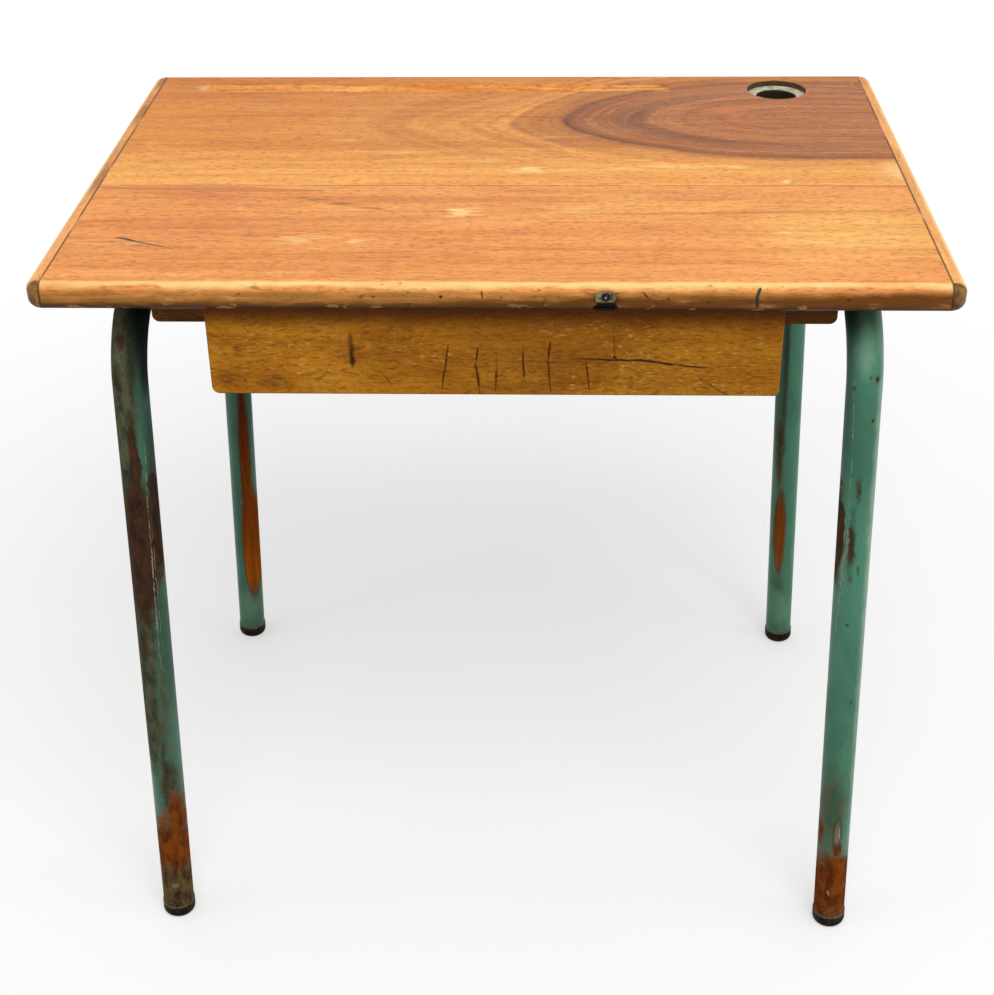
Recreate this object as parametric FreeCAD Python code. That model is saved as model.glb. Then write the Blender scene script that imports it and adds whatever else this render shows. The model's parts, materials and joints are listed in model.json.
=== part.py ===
"""Single school desk with a lift lid, in millimetres.

The origin is on the floor under the middle of the top, with X to the pupil's right, Y away from the
pupil and Z up.  Two bent tube hoops carry a shallow wooden box, and the whole top is the box's lid,
which turns on two butt hinges along the rear edge.
"""
import FreeCAD, Part
import math
import os

V = FreeCAD.Vector
X_AXIS = V(1, 0, 0)
Y_AXIS = V(0, 1, 0)
Z_AXIS = V(0, 0, 1)
TOUCHING = 1e-6

# lid
desk_height = 650.0
lid_width = 700.0
lid_depth = 500.0
lid_thickness = 22.0
lid_edge_radius = 8.0
lid_corner_radius = 12.0
lipping_width = 12.0
front_board_depth = 202.0
tongue_thickness = 6.0
tongue_length = 6.0
tongue_stop = 25.0
lid_gap = 0.3

# pencil groove and inkwell hole in the lid
groove_length = 450.0
groove_width = 22.0
groove_depth = 6.0
groove_from_left = 56.0
groove_from_rear = 41.0
inkwell_bore = 38.0
inkwell_recess = 56.0
inkwell_recess_depth = 6.0
inkwell_from_right = 94.5
inkwell_from_rear = 47.0

# cleats across the underside of the lid
cleat_spacing = 240.0
cleat_length = 280.0
cleat_width = 40.0
cleat_thickness = 18.0
cleat_edge_radius = 3.0
cleat_screw_count = 4
cleat_screw_length = 32.0

# catch plate let into the front edge of the lid, with the notch for its lost latch below it
catch_from_middle = 84.0
catch_width = 15.0
catch_height = 9.0
catch_thickness = 1.5
catch_above_underside = 7.5
catch_sunk = 3.5
catch_fit = 0.2
catch_screw_head = 5.0
catch_screw_dome = 1.5
catch_screw_shank = 2.5
catch_screw_length = 14.0
notch_height = 5.0
notch_depth = 12.0

# tube hoops
tube_diameter = 28.0
tube_wall = 1.5
bend_radius = 60.0
hoop_from_end = 66.5
hoop_splay = 2.0
hoop_under_lid = 1.0
front_corner_from_edge = 27.0
rear_corner_from_edge = 34.0
front_lean = 0.8
rear_lean = 0.0
cross_tube_diameter = 22.0
cross_tube_under_box = 36.0

# feet
foot_flange = 29.5
foot_height = 13.0
foot_edge_radius = 6.0
foot_plug_length = 22.0
foot_plug_fit = 0.05
foot_trim = 1.0

# box under the lid
panel_past_box = 18.5
panel_height = 75.0
panel_thickness = 18.0
panel_from_edge = 12.0
panel_left_corner = 6.0
panel_right_corner = 4.0
panel_edge_radius = 1.5
box_width = 400.0
side_thickness = 15.0
back_thickness = 18.0
back_from_edge = 26.0
bottom_thickness = 8.0
bottom_above_panel_edge = 5.0

# hanger blocks between the box and the hoops
hanger_depth = 40.0
hanger_height = 46.0
hanger_corner = 6.0
front_hanger_from_edge = 80.0
rear_hanger_from_edge = 100.0
hanger_fit = 0.3
front_left_hanger_lap = 6.5
bolt_diameter = 6.0
bolt_hole_fit = 0.25
bolt_head = 13.0
bolt_head_height = 3.5
bolt_head_round = 2.5
bolt_drop = 15.0
bolt_tail = 2.0
washer_diameter = 18.0
washer_thickness = 1.5
nut_flats = 10.0
nut_height = 5.0
thread_fit = 0.05

# butt hinges
hinge_from_box_end = 60.0
hinge_length = 60.0
hinge_leaf_width = 20.0
hinge_leaf_thickness = 2.0
hinge_corner = 2.0
knuckle_count = 5
knuckle_radius = 4.0
knuckle_clearance = 0.5
pin_radius = 2.0
pin_clearance = 0.05
gain_clearance = 0.5
hinge_screw_count = 3
hinge_screw_pitch = 20.0
hinge_screw_length = 12.0

# wood screws and nails
screw_head = 7.0
screw_head_height = 2.0
screw_shank = 3.5
screw_point = 4.0
screw_slot_width = 0.9
screw_slot_depth = 0.8
nail_head = 5.0
nail_head_height = 1.0
nail_shank = 2.2
nail_length = 40.0
nail_from_end = 12.0
corner_nail_count = 3
bottom_nail_inset = 48.0
side_nail_count = 5
back_nail_count = 3

# levels and places that follow from the sizes above
underside = desk_height - lid_thickness
lid_middle = desk_height - lid_thickness / 2
box_top = underside - lid_gap
front_edge = -lid_depth / 2
rear_edge = lid_depth / 2
board_joint = front_edge + front_board_depth
tube_radius = tube_diameter / 2
tube_bore_radius = tube_radius - tube_wall
run_x = lid_width / 2 - hoop_from_end
run_z = underside - hoop_under_lid - tube_radius
splay = math.radians(hoop_splay)
panel_front = front_edge + panel_from_edge
panel_back = panel_front + panel_thickness
panel_bottom = box_top - panel_height
back_rear = rear_edge - back_from_edge
back_front = back_rear - back_thickness
panel_width = box_width + 2 * panel_past_box
side_outer = box_width / 2
side_inner = side_outer - side_thickness
side_middle = side_outer - side_thickness / 2
floor_bottom = panel_bottom + bottom_above_panel_edge
floor_top = floor_bottom + bottom_thickness
cross_tube_height = floor_bottom - cross_tube_under_box - cross_tube_diameter / 2
hanger_end = run_x - tube_radius - hanger_fit
bolt_level = box_top - bolt_drop
hinge_y = back_rear + knuckle_radius + knuckle_clearance
hinge_z = underside - knuckle_radius - knuckle_clearance
hinge_lap = knuckle_radius + knuckle_clearance
hinge_spacing = box_width - 2 * hinge_from_box_end


def block(x0, x1, y0, y1, z0, z1):
    """A box between two corners."""
    return Part.makeBox(x1 - x0, y1 - y0, z1 - z0, V(x0, y0, z0))


def placed(shape, point, direction):
    """A copy of a shape made on the Z axis, moved to a point and turned along a direction."""
    copy = shape.copy()
    copy.Placement = FreeCAD.Placement(point, FreeCAD.Rotation(Z_AXIS, direction))
    return copy


def turned(points):
    """A solid of revolution about Z from (radius, height) corners."""
    corners = [V(radius, 0, height) for radius, height in points]
    profile = Part.Face(Part.makePolygon(corners + corners[:1]))
    return profile.revolve(V(0, 0, 0), Z_AXIS, 360)


def rounded(shape, radius, wanted):
    """Fillets the edges whose middle passes the test."""
    edges = [edge for edge in shape.Edges if wanted(edge.valueAt(sum(edge.ParameterRange) / 2), edge)]
    return shape.makeFillet(radius, edges)


def along(edge, axis):
    """True for a straight edge that runs along an axis."""
    if not isinstance(edge.Curve, Part.Line):
        return False
    return abs(edge.Curve.Direction.dot(axis)) > 0.999


def cut_all(shape, tools):
    """The shape with every tool taken out of it."""
    return shape.cut(tools) if tools else shape


def spread(count, first, last):
    """Evenly spaced places from first to last."""
    return [first + (last - first) * index / (count - 1) for index in range(count)]


# fasteners: the head's top is at the point and the shank runs along the direction

def screw_body(length):
    head = screw_head / 2
    shank = screw_shank / 2
    corners = [(0, 0), (head, 0), (shank, screw_head_height), (shank, length - screw_point), (0, length)]
    return turned(corners)


def wood_screw(point, direction, length):
    slot = block(-screw_head, screw_head, -screw_slot_width / 2, screw_slot_width / 2, 0, screw_slot_depth)
    return placed(screw_body(length).cut(slot), point, direction)


def screw_hole(point, direction, length):
    return placed(screw_body(length), point, direction)


def nail(point, direction):
    head = nail_head / 2
    shank = nail_shank / 2
    corners = [(0, 0), (head, 0), (head, nail_head_height), (shank, nail_head_height)]
    corners += [(shank, nail_length - nail_shank), (0, nail_length)]
    return placed(turned(corners), point, direction)


# lid

def lid_slab():
    slab = block(-lid_width / 2, lid_width / 2, front_edge, rear_edge, underside, desk_height)
    slab = rounded(slab, lid_corner_radius, lambda point, edge: along(edge, Z_AXIS))
    return rounded(slab, lid_edge_radius, lambda point, edge: not along(edge, Z_AXIS)
                   and min(abs(point.z - underside), abs(point.z - desk_height)) < TOUCHING)


def lid_boards_region():
    """The room of the two boards, with the stopped tongues on their ends."""
    inner = lid_width / 2 - lipping_width
    tongue = inner + tongue_length
    low = lid_middle - tongue_thickness / 2
    high = lid_middle + tongue_thickness / 2
    boards = block(-inner, inner, front_edge, rear_edge, underside, desk_height)
    tongues = block(-tongue, tongue, front_edge + tongue_stop, rear_edge - tongue_stop, low, high)
    return boards.fuse(tongues)


def rear_board_region():
    """The room of the rear board, with the tongue that enters the front board's edge."""
    half = lid_width / 2
    inner = half - lipping_width - tongue_stop
    low = lid_middle - tongue_thickness / 2
    high = lid_middle + tongue_thickness / 2
    board = block(-half, half, board_joint, rear_edge, underside, desk_height)
    tongue = block(-inner, inner, board_joint - tongue_length, board_joint, low, high)
    return board.fuse(tongue)


def pencil_groove():
    radius = (groove_width ** 2 / 4 + groove_depth ** 2) / (2 * groove_depth)
    level = desk_height + radius - groove_depth
    y = rear_edge - groove_from_rear
    start = V(-lid_width / 2 + groove_from_left + groove_width / 2, y, level)
    reach = groove_length - groove_width
    groove = Part.makeCylinder(radius, reach, start, X_AXIS)
    ends = [Part.makeSphere(radius, start), Part.makeSphere(radius, start + X_AXIS * reach)]
    return groove.fuse(ends)


def inkwell_hole():
    x = lid_width / 2 - inkwell_from_right
    y = rear_edge - inkwell_from_rear
    bore = Part.makeCylinder(inkwell_bore / 2, lid_thickness, V(x, y, underside))
    floor = V(x, y, desk_height - inkwell_recess_depth)
    return bore.fuse(Part.makeCylinder(inkwell_recess / 2, inkwell_recess_depth, floor))


def catch_pocket():
    half = catch_width / 2 + catch_fit
    low = underside + catch_above_underside
    high = low + catch_height + catch_fit
    back = front_edge + catch_sunk
    pocket = block(catch_from_middle - half, catch_from_middle + half, front_edge, back, low, high)
    notch = block(catch_from_middle - half, catch_from_middle + half, front_edge,
                  front_edge + notch_depth, underside, underside + notch_height)
    return [pocket, notch]


def catch_plate():
    half = catch_width / 2
    low = underside + catch_above_underside
    back = front_edge + catch_sunk
    return block(catch_from_middle - half, catch_from_middle + half, back - catch_thickness, back,
                 low, low + catch_height)


def catch_screw():
    """Round-headed screw through the middle of the plate."""
    level = underside + catch_above_underside + catch_height / 2
    face = front_edge + catch_sunk - catch_thickness
    radius = catch_screw_head / 2
    ball = (radius ** 2 + catch_screw_dome ** 2) / (2 * catch_screw_dome)
    dome = Part.makeSphere(ball, V(0, 0, ball - catch_screw_dome))
    dome = dome.common(Part.makeCylinder(radius, catch_screw_dome, V(0, 0, -catch_screw_dome)))
    slot = block(-radius, radius, -screw_slot_width / 2, screw_slot_width / 2,
                 -catch_screw_dome, screw_slot_depth - catch_screw_dome)
    shank = Part.makeCylinder(catch_screw_shank / 2, catch_screw_length)
    return placed(dome.cut(slot).fuse(shank), V(catch_from_middle, face, level), Y_AXIS)


def cleat(side):
    centre = side * cleat_spacing / 2
    half = cleat_width / 2
    bar = block(centre - half, centre + half, -cleat_length / 2, cleat_length / 2,
                underside - cleat_thickness, underside)
    return rounded(bar, cleat_edge_radius, lambda point, edge: not along(edge, Z_AXIS)
                   and point.z < underside - cleat_thickness / 2)


def cleat_screw_points(side):
    reach = cleat_length / 2 - cleat_width / 2
    level = underside - cleat_thickness
    return [V(side * cleat_spacing / 2, y, level) for y in spread(cleat_screw_count, -reach, reach)]


# hinges: the box leaf is on the back panel's rear face and the lid leaf under the lid

def knuckle_spans(centre, first):
    """X spans of every second knuckle, from the first index on."""
    pitch = hinge_length / knuckle_count
    gap = knuckle_clearance / 2
    start = centre - hinge_length / 2
    return [(start + index * pitch + gap, start + (index + 1) * pitch - gap)
            for index in range(first, knuckle_count, 2)]


def with_knuckles(plate, spans, tab, bore_radius):
    """A leaf's plate with its tabs and barrels, bored for the pin."""
    pieces = []
    for x0, x1 in spans:
        pieces.append(tab(x0, x1))
        pieces.append(Part.makeCylinder(knuckle_radius, x1 - x0, V(x0, hinge_y, hinge_z), X_AXIS))
    leaf = plate.fuse(pieces).removeSplitter()
    length = 2 * hinge_length
    middle = (spans[0][0] + spans[-1][1]) / 2
    return leaf.cut(Part.makeCylinder(bore_radius, length, V(middle - length / 2, hinge_y, hinge_z), X_AXIS))


def lid_leaf(centre):
    half = hinge_length / 2
    low = underside - hinge_leaf_thickness
    front = hinge_y - hinge_leaf_width
    back = hinge_y - hinge_lap
    plate = block(centre - half, centre + half, front, back, low, underside)
    plate = rounded(plate, hinge_corner, lambda point, edge: along(edge, Z_AXIS) and point.y < back)
    spans = knuckle_spans(centre, 1)
    leaf = with_knuckles(plate, spans, lambda x0, x1: block(x0, x1, back, hinge_y, low, underside),
                         pin_radius + pin_clearance)
    holes = [screw_hole(point, Z_AXIS, hinge_screw_length) for point in lid_leaf_points(centre)]
    return cut_all(leaf, holes)


def box_leaf(centre):
    half = hinge_length / 2
    face = back_rear + hinge_leaf_thickness
    low = hinge_z - hinge_leaf_width
    high = hinge_z - hinge_lap
    plate = block(centre - half, centre + half, back_rear, face, low, high)
    plate = rounded(plate, hinge_corner, lambda point, edge: along(edge, Y_AXIS) and point.z < high)
    spans = knuckle_spans(centre, 0)
    leaf = with_knuckles(plate, spans, lambda x0, x1: block(x0, x1, back_rear, face, high, hinge_z),
                         pin_radius)
    holes = [screw_hole(point, -Y_AXIS, hinge_screw_length) for point in box_leaf_points(centre)]
    return cut_all(leaf, holes)


def hinge_screw_offsets():
    reach = hinge_screw_pitch * (hinge_screw_count - 1) / 2
    return spread(hinge_screw_count, -reach, reach)


def leaf_screw_line():
    """Distance of the screws from the hinge's axis, in the middle of the leaf's plate."""
    return (hinge_leaf_width + hinge_lap) / 2


def lid_leaf_points(centre):
    level = underside - hinge_leaf_thickness
    return [V(centre + x, hinge_y - leaf_screw_line(), level) for x in hinge_screw_offsets()]


def box_leaf_points(centre):
    face = back_rear + hinge_leaf_thickness
    return [V(centre + x, face, hinge_z - leaf_screw_line()) for x in hinge_screw_offsets()]


def hinge_pin(centre):
    length = hinge_length - knuckle_clearance
    return Part.makeCylinder(pin_radius, length, V(centre - length / 2, hinge_y, hinge_z), X_AXIS)


# tube hoops and feet

def hoop_point(side, y, drop):
    """A point of a hoop's leaning plane, at a distance below the top run."""
    return V(side * (run_x + drop * math.sin(splay)), y, run_z - drop * math.cos(splay))


def leg_places():
    """For the front and the rear leg: its corner at the top run, its way back and its lean, in radians."""
    front = (front_edge + front_corner_from_edge, 1, math.radians(front_lean))
    rear = (rear_edge - rear_corner_from_edge, -1, math.radians(rear_lean))
    return {"front": front, "rear": rear}


def leg_drop(lean, height):
    """Distance along a leg from its corner down to a height above the floor."""
    return (run_z - height) / (math.cos(splay) * math.cos(lean))


def leg_point(side, leg, height):
    corner, inward, lean = leg_places()[leg]
    length = leg_drop(lean, height)
    return hoop_point(side, corner - inward * length * math.sin(lean), length * math.cos(lean))


def leg_up(side, leg):
    return (leg_point(side, leg, foot_height) - leg_point(side, leg, 0)).normalize()


def hoop_bend(side, leg):
    """The start, middle and end of a leg's bend, from the leg to the top run."""
    corner, inward, lean = leg_places()[leg]
    turn = math.pi / 2 + lean
    tangent = bend_radius / math.tan(turn / 2)
    towards = (math.cos(turn / 2) * inward, math.sin(turn / 2))
    reach = bend_radius / math.sin(turn / 2) - bend_radius
    start = hoop_point(side, corner - inward * tangent * math.sin(lean), tangent * math.cos(lean))
    middle = hoop_point(side, corner + towards[0] * reach, towards[1] * reach)
    end = hoop_point(side, corner + inward * tangent, 0)
    return start, middle, end


def hoop_path(side):
    front = hoop_bend(side, "front")
    rear = hoop_bend(side, "rear")
    edges = [
        Part.makeLine(leg_point(side, "front", foot_height), front[0]),
        Part.Arc(*front).toShape(),
        Part.makeLine(front[2], rear[2]),
        Part.Arc(rear[2], rear[1], rear[0]).toShape(),
        Part.makeLine(rear[0], leg_point(side, "rear", foot_height)),
    ]
    return Part.Wire(edges)


def hoop_sweep(side, radius):
    """A full round bar along a hoop's path."""
    start = leg_point(side, "front", foot_height)
    circle = Part.Wire(Part.makeCircle(radius, start, leg_up(side, "front")))
    return hoop_path(side).makePipeShell([circle], True, False)


def leg_hoop(side):
    tube = hoop_sweep(side, tube_radius).cut(hoop_sweep(side, tube_bore_radius))
    return cut_all(tube, [bolt_hole(side, y) for y in hanger_middles()])


def cross_tube():
    """Straight tube welded between the rear legs, with its ends cut to the round of the legs."""
    y = leg_point(1, "rear", cross_tube_height).y
    radius = cross_tube_diameter / 2
    start = V(-lid_width / 2, y, cross_tube_height)
    tube = Part.makeCylinder(radius, lid_width, start, X_AXIS)
    tube = tube.cut(Part.makeCylinder(radius - tube_wall, lid_width, start, X_AXIS))
    tube = tube.cut([hoop_sweep(-1, tube_radius), hoop_sweep(1, tube_radius)])
    return max(tube.Solids, key=lambda solid: solid.Volume)


def foot(side, leg):
    """Domed foot with a plug in the tube's end, cut flat where it stands on the floor."""
    flange = foot_flange / 2
    plug = tube_bore_radius - foot_plug_fit
    top = foot_height / leg_up(side, leg).z
    body = Part.makeCylinder(flange, top + foot_trim, V(0, 0, -foot_trim))
    body = rounded(body, foot_edge_radius, lambda point, edge: point.z < 0 and not along(edge, Z_AXIS))
    body = body.fuse(Part.makeCylinder(plug, foot_plug_length, V(0, 0, top))).removeSplitter()
    body = placed(body, leg_point(side, leg, 0), leg_up(side, leg))
    return body.cut(block(-lid_width, lid_width, -lid_depth, lid_depth, -foot_height, 0))


# box

def front_panel():
    half = panel_width / 2
    panel = block(-half, half, panel_front, panel_back, panel_bottom, box_top)
    for side, radius in ((-1, panel_left_corner), (1, panel_right_corner)):
        panel = rounded(panel, radius, lambda point, edge: along(edge, Y_AXIS)
                        and point.z < box_top - panel_height / 2 and point.x * side > 0)
    panel = rounded(panel, panel_edge_radius, lambda point, edge: abs(point.y - panel_front) < TOUCHING)
    return cut_all(panel, front_nails())


def side_board(side):
    x0, x1 = sorted((side * side_inner, side * side_outer))
    board = block(x0, x1, panel_back, back_front, floor_top, box_top)
    holes = front_nails() + back_nails() + bottom_nails() + [bolt_hole(side, y) for y in hanger_middles()]
    return cut_all(board, holes)


def back_panel():
    panel = block(-side_outer, side_outer, back_front, back_rear, floor_top, box_top)
    gains = []
    for centre in hinge_centres():
        half = hinge_length / 2 + gain_clearance
        low = underside - hinge_leaf_thickness - gain_clearance
        gains.append(block(centre - half, centre + half, back_front, back_rear, low, box_top))
    screws = [screw_hole(point, -Y_AXIS, hinge_screw_length)
              for centre in hinge_centres() for point in box_leaf_points(centre)]
    return cut_all(panel, gains + screws + back_nails() + bottom_nails())


def bottom_board():
    board = block(-side_outer, side_outer, panel_back, back_rear, floor_bottom, floor_top)
    return cut_all(board, bottom_nails())


def corner_levels():
    return spread(corner_nail_count, floor_top + nail_from_end, box_top - nail_from_end)


def front_nails():
    return [nail(V(side * side_middle, panel_front, z), Y_AXIS) for side in (-1, 1) for z in corner_levels()]


def back_nails():
    return [nail(V(side * side_middle, back_rear, z), -Y_AXIS) for side in (-1, 1) for z in corner_levels()]


def bottom_nails():
    first = panel_back + bottom_nail_inset
    last = back_front - bottom_nail_inset
    reach = side_outer - bottom_nail_inset
    middle = (back_front + back_rear) / 2
    places = [(side * side_middle, y) for side in (-1, 1) for y in spread(side_nail_count, first, last)]
    places += [(x, middle) for x in spread(back_nail_count, -reach, reach)]
    return [nail(V(x, y, floor_bottom), Z_AXIS) for x, y in places]


# hanger blocks, which hang the box between the hoops

def hanger_fronts():
    front = front_edge + front_hanger_from_edge
    rear = rear_edge - rear_hanger_from_edge - hanger_depth
    return {"front": front, "rear": rear}


def hanger_middles():
    return [front + hanger_depth / 2 for front in hanger_fronts().values()]


def hanger_block(side, front, lap):
    """A block from the box side to the tube, or hollowed to the tube where it laps under it."""
    x0, x1 = sorted((side * side_outer, side * (hanger_end + lap)))
    body = block(x0, x1, front, front + hanger_depth, box_top - hanger_height, box_top)
    body = rounded(body, hanger_corner, lambda point, edge: along(edge, Y_AXIS)
                   and point.z < box_top - hanger_height / 2 and abs(point.x) > side_outer)
    if lap > 0:
        body = body.cut(hoop_sweep(side, tube_radius + hanger_fit))
    return cut_all(body, [bolt_hole(side, front + hanger_depth / 2)])


def bolt_seat(side, y):
    """Where a bolt's head bears on the outside of the tube."""
    return V(side * (run_x + tube_radius), y, bolt_level)


def bolt_length():
    return run_x + tube_radius - side_inner + washer_thickness + nut_height + bolt_tail


def bolt_hole(side, y):
    radius = bolt_diameter / 2 + bolt_hole_fit
    return Part.makeCylinder(radius, bolt_length(), bolt_seat(side, y), X_AXIS * -side)


def hanger_bolt(side, y):
    head = Part.makeCylinder(bolt_head / 2, bolt_head_height, V(0, 0, -bolt_head_height))
    head = rounded(head, bolt_head_round, lambda point, edge: abs(point.z + bolt_head_height) < TOUCHING)
    shank = Part.makeCylinder(bolt_diameter / 2, bolt_length())
    return placed(head.fuse(shank), bolt_seat(side, y), X_AXIS * -side)


def hanger_washer(side, y):
    ring = Part.makeCylinder(washer_diameter / 2, washer_thickness)
    ring = ring.cut(Part.makeCylinder(bolt_diameter / 2 + thread_fit, washer_thickness))
    return placed(ring, V(side * side_inner, y, bolt_level), X_AXIS * -side)


def hanger_nut(side, y):
    reach = nut_flats / 2 / math.cos(math.pi / 6)
    corners = [V(reach * math.cos(k * math.pi / 3), reach * math.sin(k * math.pi / 3), 0) for k in range(7)]
    nut = Part.Face(Part.makePolygon(corners)).extrude(Z_AXIS * nut_height)
    nut = nut.cut(Part.makeCylinder(bolt_diameter / 2 + thread_fit, nut_height))
    return placed(nut, V(side * (side_inner - washer_thickness), y, bolt_level), X_AXIS * -side)


def hinge_centres():
    return [-hinge_spacing / 2, hinge_spacing / 2]


def lid_nodes():
    slab = lid_slab()
    region = lid_boards_region()
    boards = slab.common(region)
    rear_region = rear_board_region()
    cleat_points = cleat_screw_points(-1) + cleat_screw_points(1)
    leaf_points = [point for centre in hinge_centres() for point in lid_leaf_points(centre)]
    screws = [screw_hole(point, Z_AXIS, cleat_screw_length) for point in cleat_points]
    screws += [screw_hole(point, Z_AXIS, hinge_screw_length) for point in leaf_points]
    nodes = {}
    nodes["lid_front_board"] = cut_all(boards.cut(rear_region), screws + catch_pocket() + [catch_screw()])
    nodes["lid_rear_board"] = cut_all(boards.common(rear_region), screws + [pencil_groove(), inkwell_hole()])
    lippings = sorted(slab.cut(region).Solids, key=lambda solid: solid.CenterOfMass.x)
    nodes["lid_left_lipping"] = lippings[0]
    nodes["lid_right_lipping"] = lippings[-1]
    nodes["lid_left_cleat"] = cut_all(cleat(-1), screws)
    nodes["lid_right_cleat"] = cut_all(cleat(1), screws)
    nodes["lid_cleat_screws"] = Part.makeCompound(
        [wood_screw(point, Z_AXIS, cleat_screw_length) for point in cleat_points])
    nodes["catch_plate"] = catch_plate().cut(catch_screw())
    nodes["catch_screw"] = catch_screw()
    for name, centre in zip(("left", "right"), hinge_centres()):
        nodes[name + "_hinge_lid_leaf"] = lid_leaf(centre)
    nodes["hinge_lid_screws"] = Part.makeCompound(
        [wood_screw(point, Z_AXIS, hinge_screw_length) for point in leaf_points])
    return nodes


def frame_nodes():
    nodes = {}
    for name, side in (("left", -1), ("right", 1)):
        nodes[name + "_leg_hoop"] = leg_hoop(side)
        for leg in ("front", "rear"):
            nodes[leg + "_" + name + "_foot"] = foot(side, leg)
    nodes["rear_cross_tube"] = cross_tube()
    return nodes


def box_nodes():
    nodes = {"front_panel": front_panel(), "back_panel": back_panel(), "bottom_board": bottom_board()}
    bolts = []
    washers = []
    nuts = []
    for name, side in (("left", -1), ("right", 1)):
        nodes[name + "_side_board"] = side_board(side)
        for leg, front in hanger_fronts().items():
            lap = front_left_hanger_lap if (leg, name) == ("front", "left") else 0.0
            nodes[leg + "_" + name + "_hanger_block"] = hanger_block(side, front, lap)
            bolts.append(hanger_bolt(side, front + hanger_depth / 2))
            washers.append(hanger_washer(side, front + hanger_depth / 2))
            nuts.append(hanger_nut(side, front + hanger_depth / 2))
    nodes["hanger_bolts"] = Part.makeCompound(bolts)
    nodes["hanger_washers"] = Part.makeCompound(washers)
    nodes["hanger_nuts"] = Part.makeCompound(nuts)
    nodes["front_panel_nails"] = Part.makeCompound(front_nails())
    nodes["back_panel_nails"] = Part.makeCompound(back_nails())
    nodes["bottom_nails"] = Part.makeCompound(bottom_nails())
    screws = []
    for name, centre in zip(("left", "right"), hinge_centres()):
        nodes[name + "_hinge_box_leaf"] = box_leaf(centre)
        nodes[name + "_hinge_pin"] = hinge_pin(centre)
        screws += [wood_screw(point, -Y_AXIS, hinge_screw_length) for point in box_leaf_points(centre)]
    nodes["hinge_box_screws"] = Part.makeCompound(screws)
    return nodes


def main():
    os.makedirs("parts", exist_ok=True)
    nodes = {**lid_nodes(), **frame_nodes(), **box_nodes()}
    for name, shape in nodes.items():
        shape.exportStep("parts/" + name + ".step")
        print(name, len(shape.Solids), round(shape.Volume), shape.isValid())


main()
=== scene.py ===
import bpy
import json
import math
from mathutils import Matrix, Vector


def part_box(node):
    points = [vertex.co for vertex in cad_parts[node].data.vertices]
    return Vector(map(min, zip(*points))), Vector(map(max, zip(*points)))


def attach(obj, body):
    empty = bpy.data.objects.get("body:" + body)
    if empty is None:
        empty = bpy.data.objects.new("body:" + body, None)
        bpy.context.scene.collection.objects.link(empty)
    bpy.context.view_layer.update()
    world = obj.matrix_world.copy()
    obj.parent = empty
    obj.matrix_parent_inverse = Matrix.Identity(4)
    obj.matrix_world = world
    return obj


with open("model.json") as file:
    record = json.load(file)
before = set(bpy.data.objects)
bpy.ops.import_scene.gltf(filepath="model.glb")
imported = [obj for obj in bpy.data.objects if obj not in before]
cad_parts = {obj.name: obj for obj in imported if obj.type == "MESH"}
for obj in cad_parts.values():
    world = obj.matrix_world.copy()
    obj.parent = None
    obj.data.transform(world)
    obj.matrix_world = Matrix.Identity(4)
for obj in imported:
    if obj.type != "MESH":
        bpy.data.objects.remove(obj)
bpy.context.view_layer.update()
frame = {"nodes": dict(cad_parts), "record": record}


# Lid, rear board
# A wide planed plank of oiled tropical hardwood, with the dark heart of the tree at its right end.
# The pencil groove and the stepped inkwell hole are cut into it, and it is glued to the front board.

MM = 0.001


def tint(red, green, blue):
    """A colour as it looks on screen, 0 to 255 a channel, as the shader wants it."""
    shares = [channel / 255 for channel in (red, green, blue)]
    linear = [share / 12.92 if share <= 0.04045 else ((share + 0.055) / 1.055) ** 2.4 for share in shares]
    return (*linear, 1.0)


def link(source, target):
    """Links two sockets in the node tree that holds them."""
    target.id_data.links.new(source, target)


def put(kind, inputs, **options):
    """A shader node in the tree of the sockets that feed it, whose other inputs are plain values."""
    feeding = [value for value in inputs.values() if isinstance(value, bpy.types.NodeSocket)]
    made = feeding[0].id_data.nodes.new("ShaderNode" + kind)
    for option, value in options.items():
        setattr(made, option, value)
    for socket, value in inputs.items():
        if isinstance(value, bpy.types.NodeSocket):
            link(value, made.inputs[socket])
        else:
            made.inputs[socket].default_value = value
    return made


def maths(operation, first, second=0.0):
    return put("Math", {0: first, 1: second}, operation=operation).outputs[0]


def vectors(operation, first, second=(0.0, 0.0, 0.0)):
    return put("VectorMath", {0: first, 1: second}, operation=operation).outputs[0]


def joined(x, y, z):
    return put("CombineXYZ", {0: x, 1: y, 2: z}).outputs[0]


def measured(operation, first, second=(0.0, 0.0, 0.0)):
    """A length or dot product, which is a number."""
    return put("VectorMath", {0: first, 1: second}, operation=operation).outputs["Value"]


def product(*values):
    total = values[0]
    for value in values[1:]:
        total = maths("MULTIPLY", total, value)
    return total


def scaled(value, factor, offset):
    return maths("ADD", product(value, factor), offset)


def blended(share, under, over, blend="MIX"):
    return put("Mix", {0: share, 6: under, 7: over}, data_type="RGBA", blend_type=blend).outputs[2]


def toned(share, colour, factors):
    """A colour darkened or lightened by a factor a channel, where the share is 1."""
    return blended(share, colour, (*factors, 1.0), "MULTIPLY")


def ramped(value, low, high):
    """0 at low and 1 at high, with a smooth step between them."""
    limits = {"Value": value, "From Min": low, "From Max": high}
    return put("MapRange", limits, interpolation_type="SMOOTHSTEP").outputs[0]


def cloud(place, stretch, detail=3.0, twist=0.0):
    """Noise from 0 to 1, with as many blotches to the metre along each axis as stretch says."""
    spread = vectors("MULTIPLY", place, stretch)
    made = put("TexNoise", {"Vector": spread, "Scale": 1.0, "Detail": detail, "Distortion": twist})
    return made.outputs[0]


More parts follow.
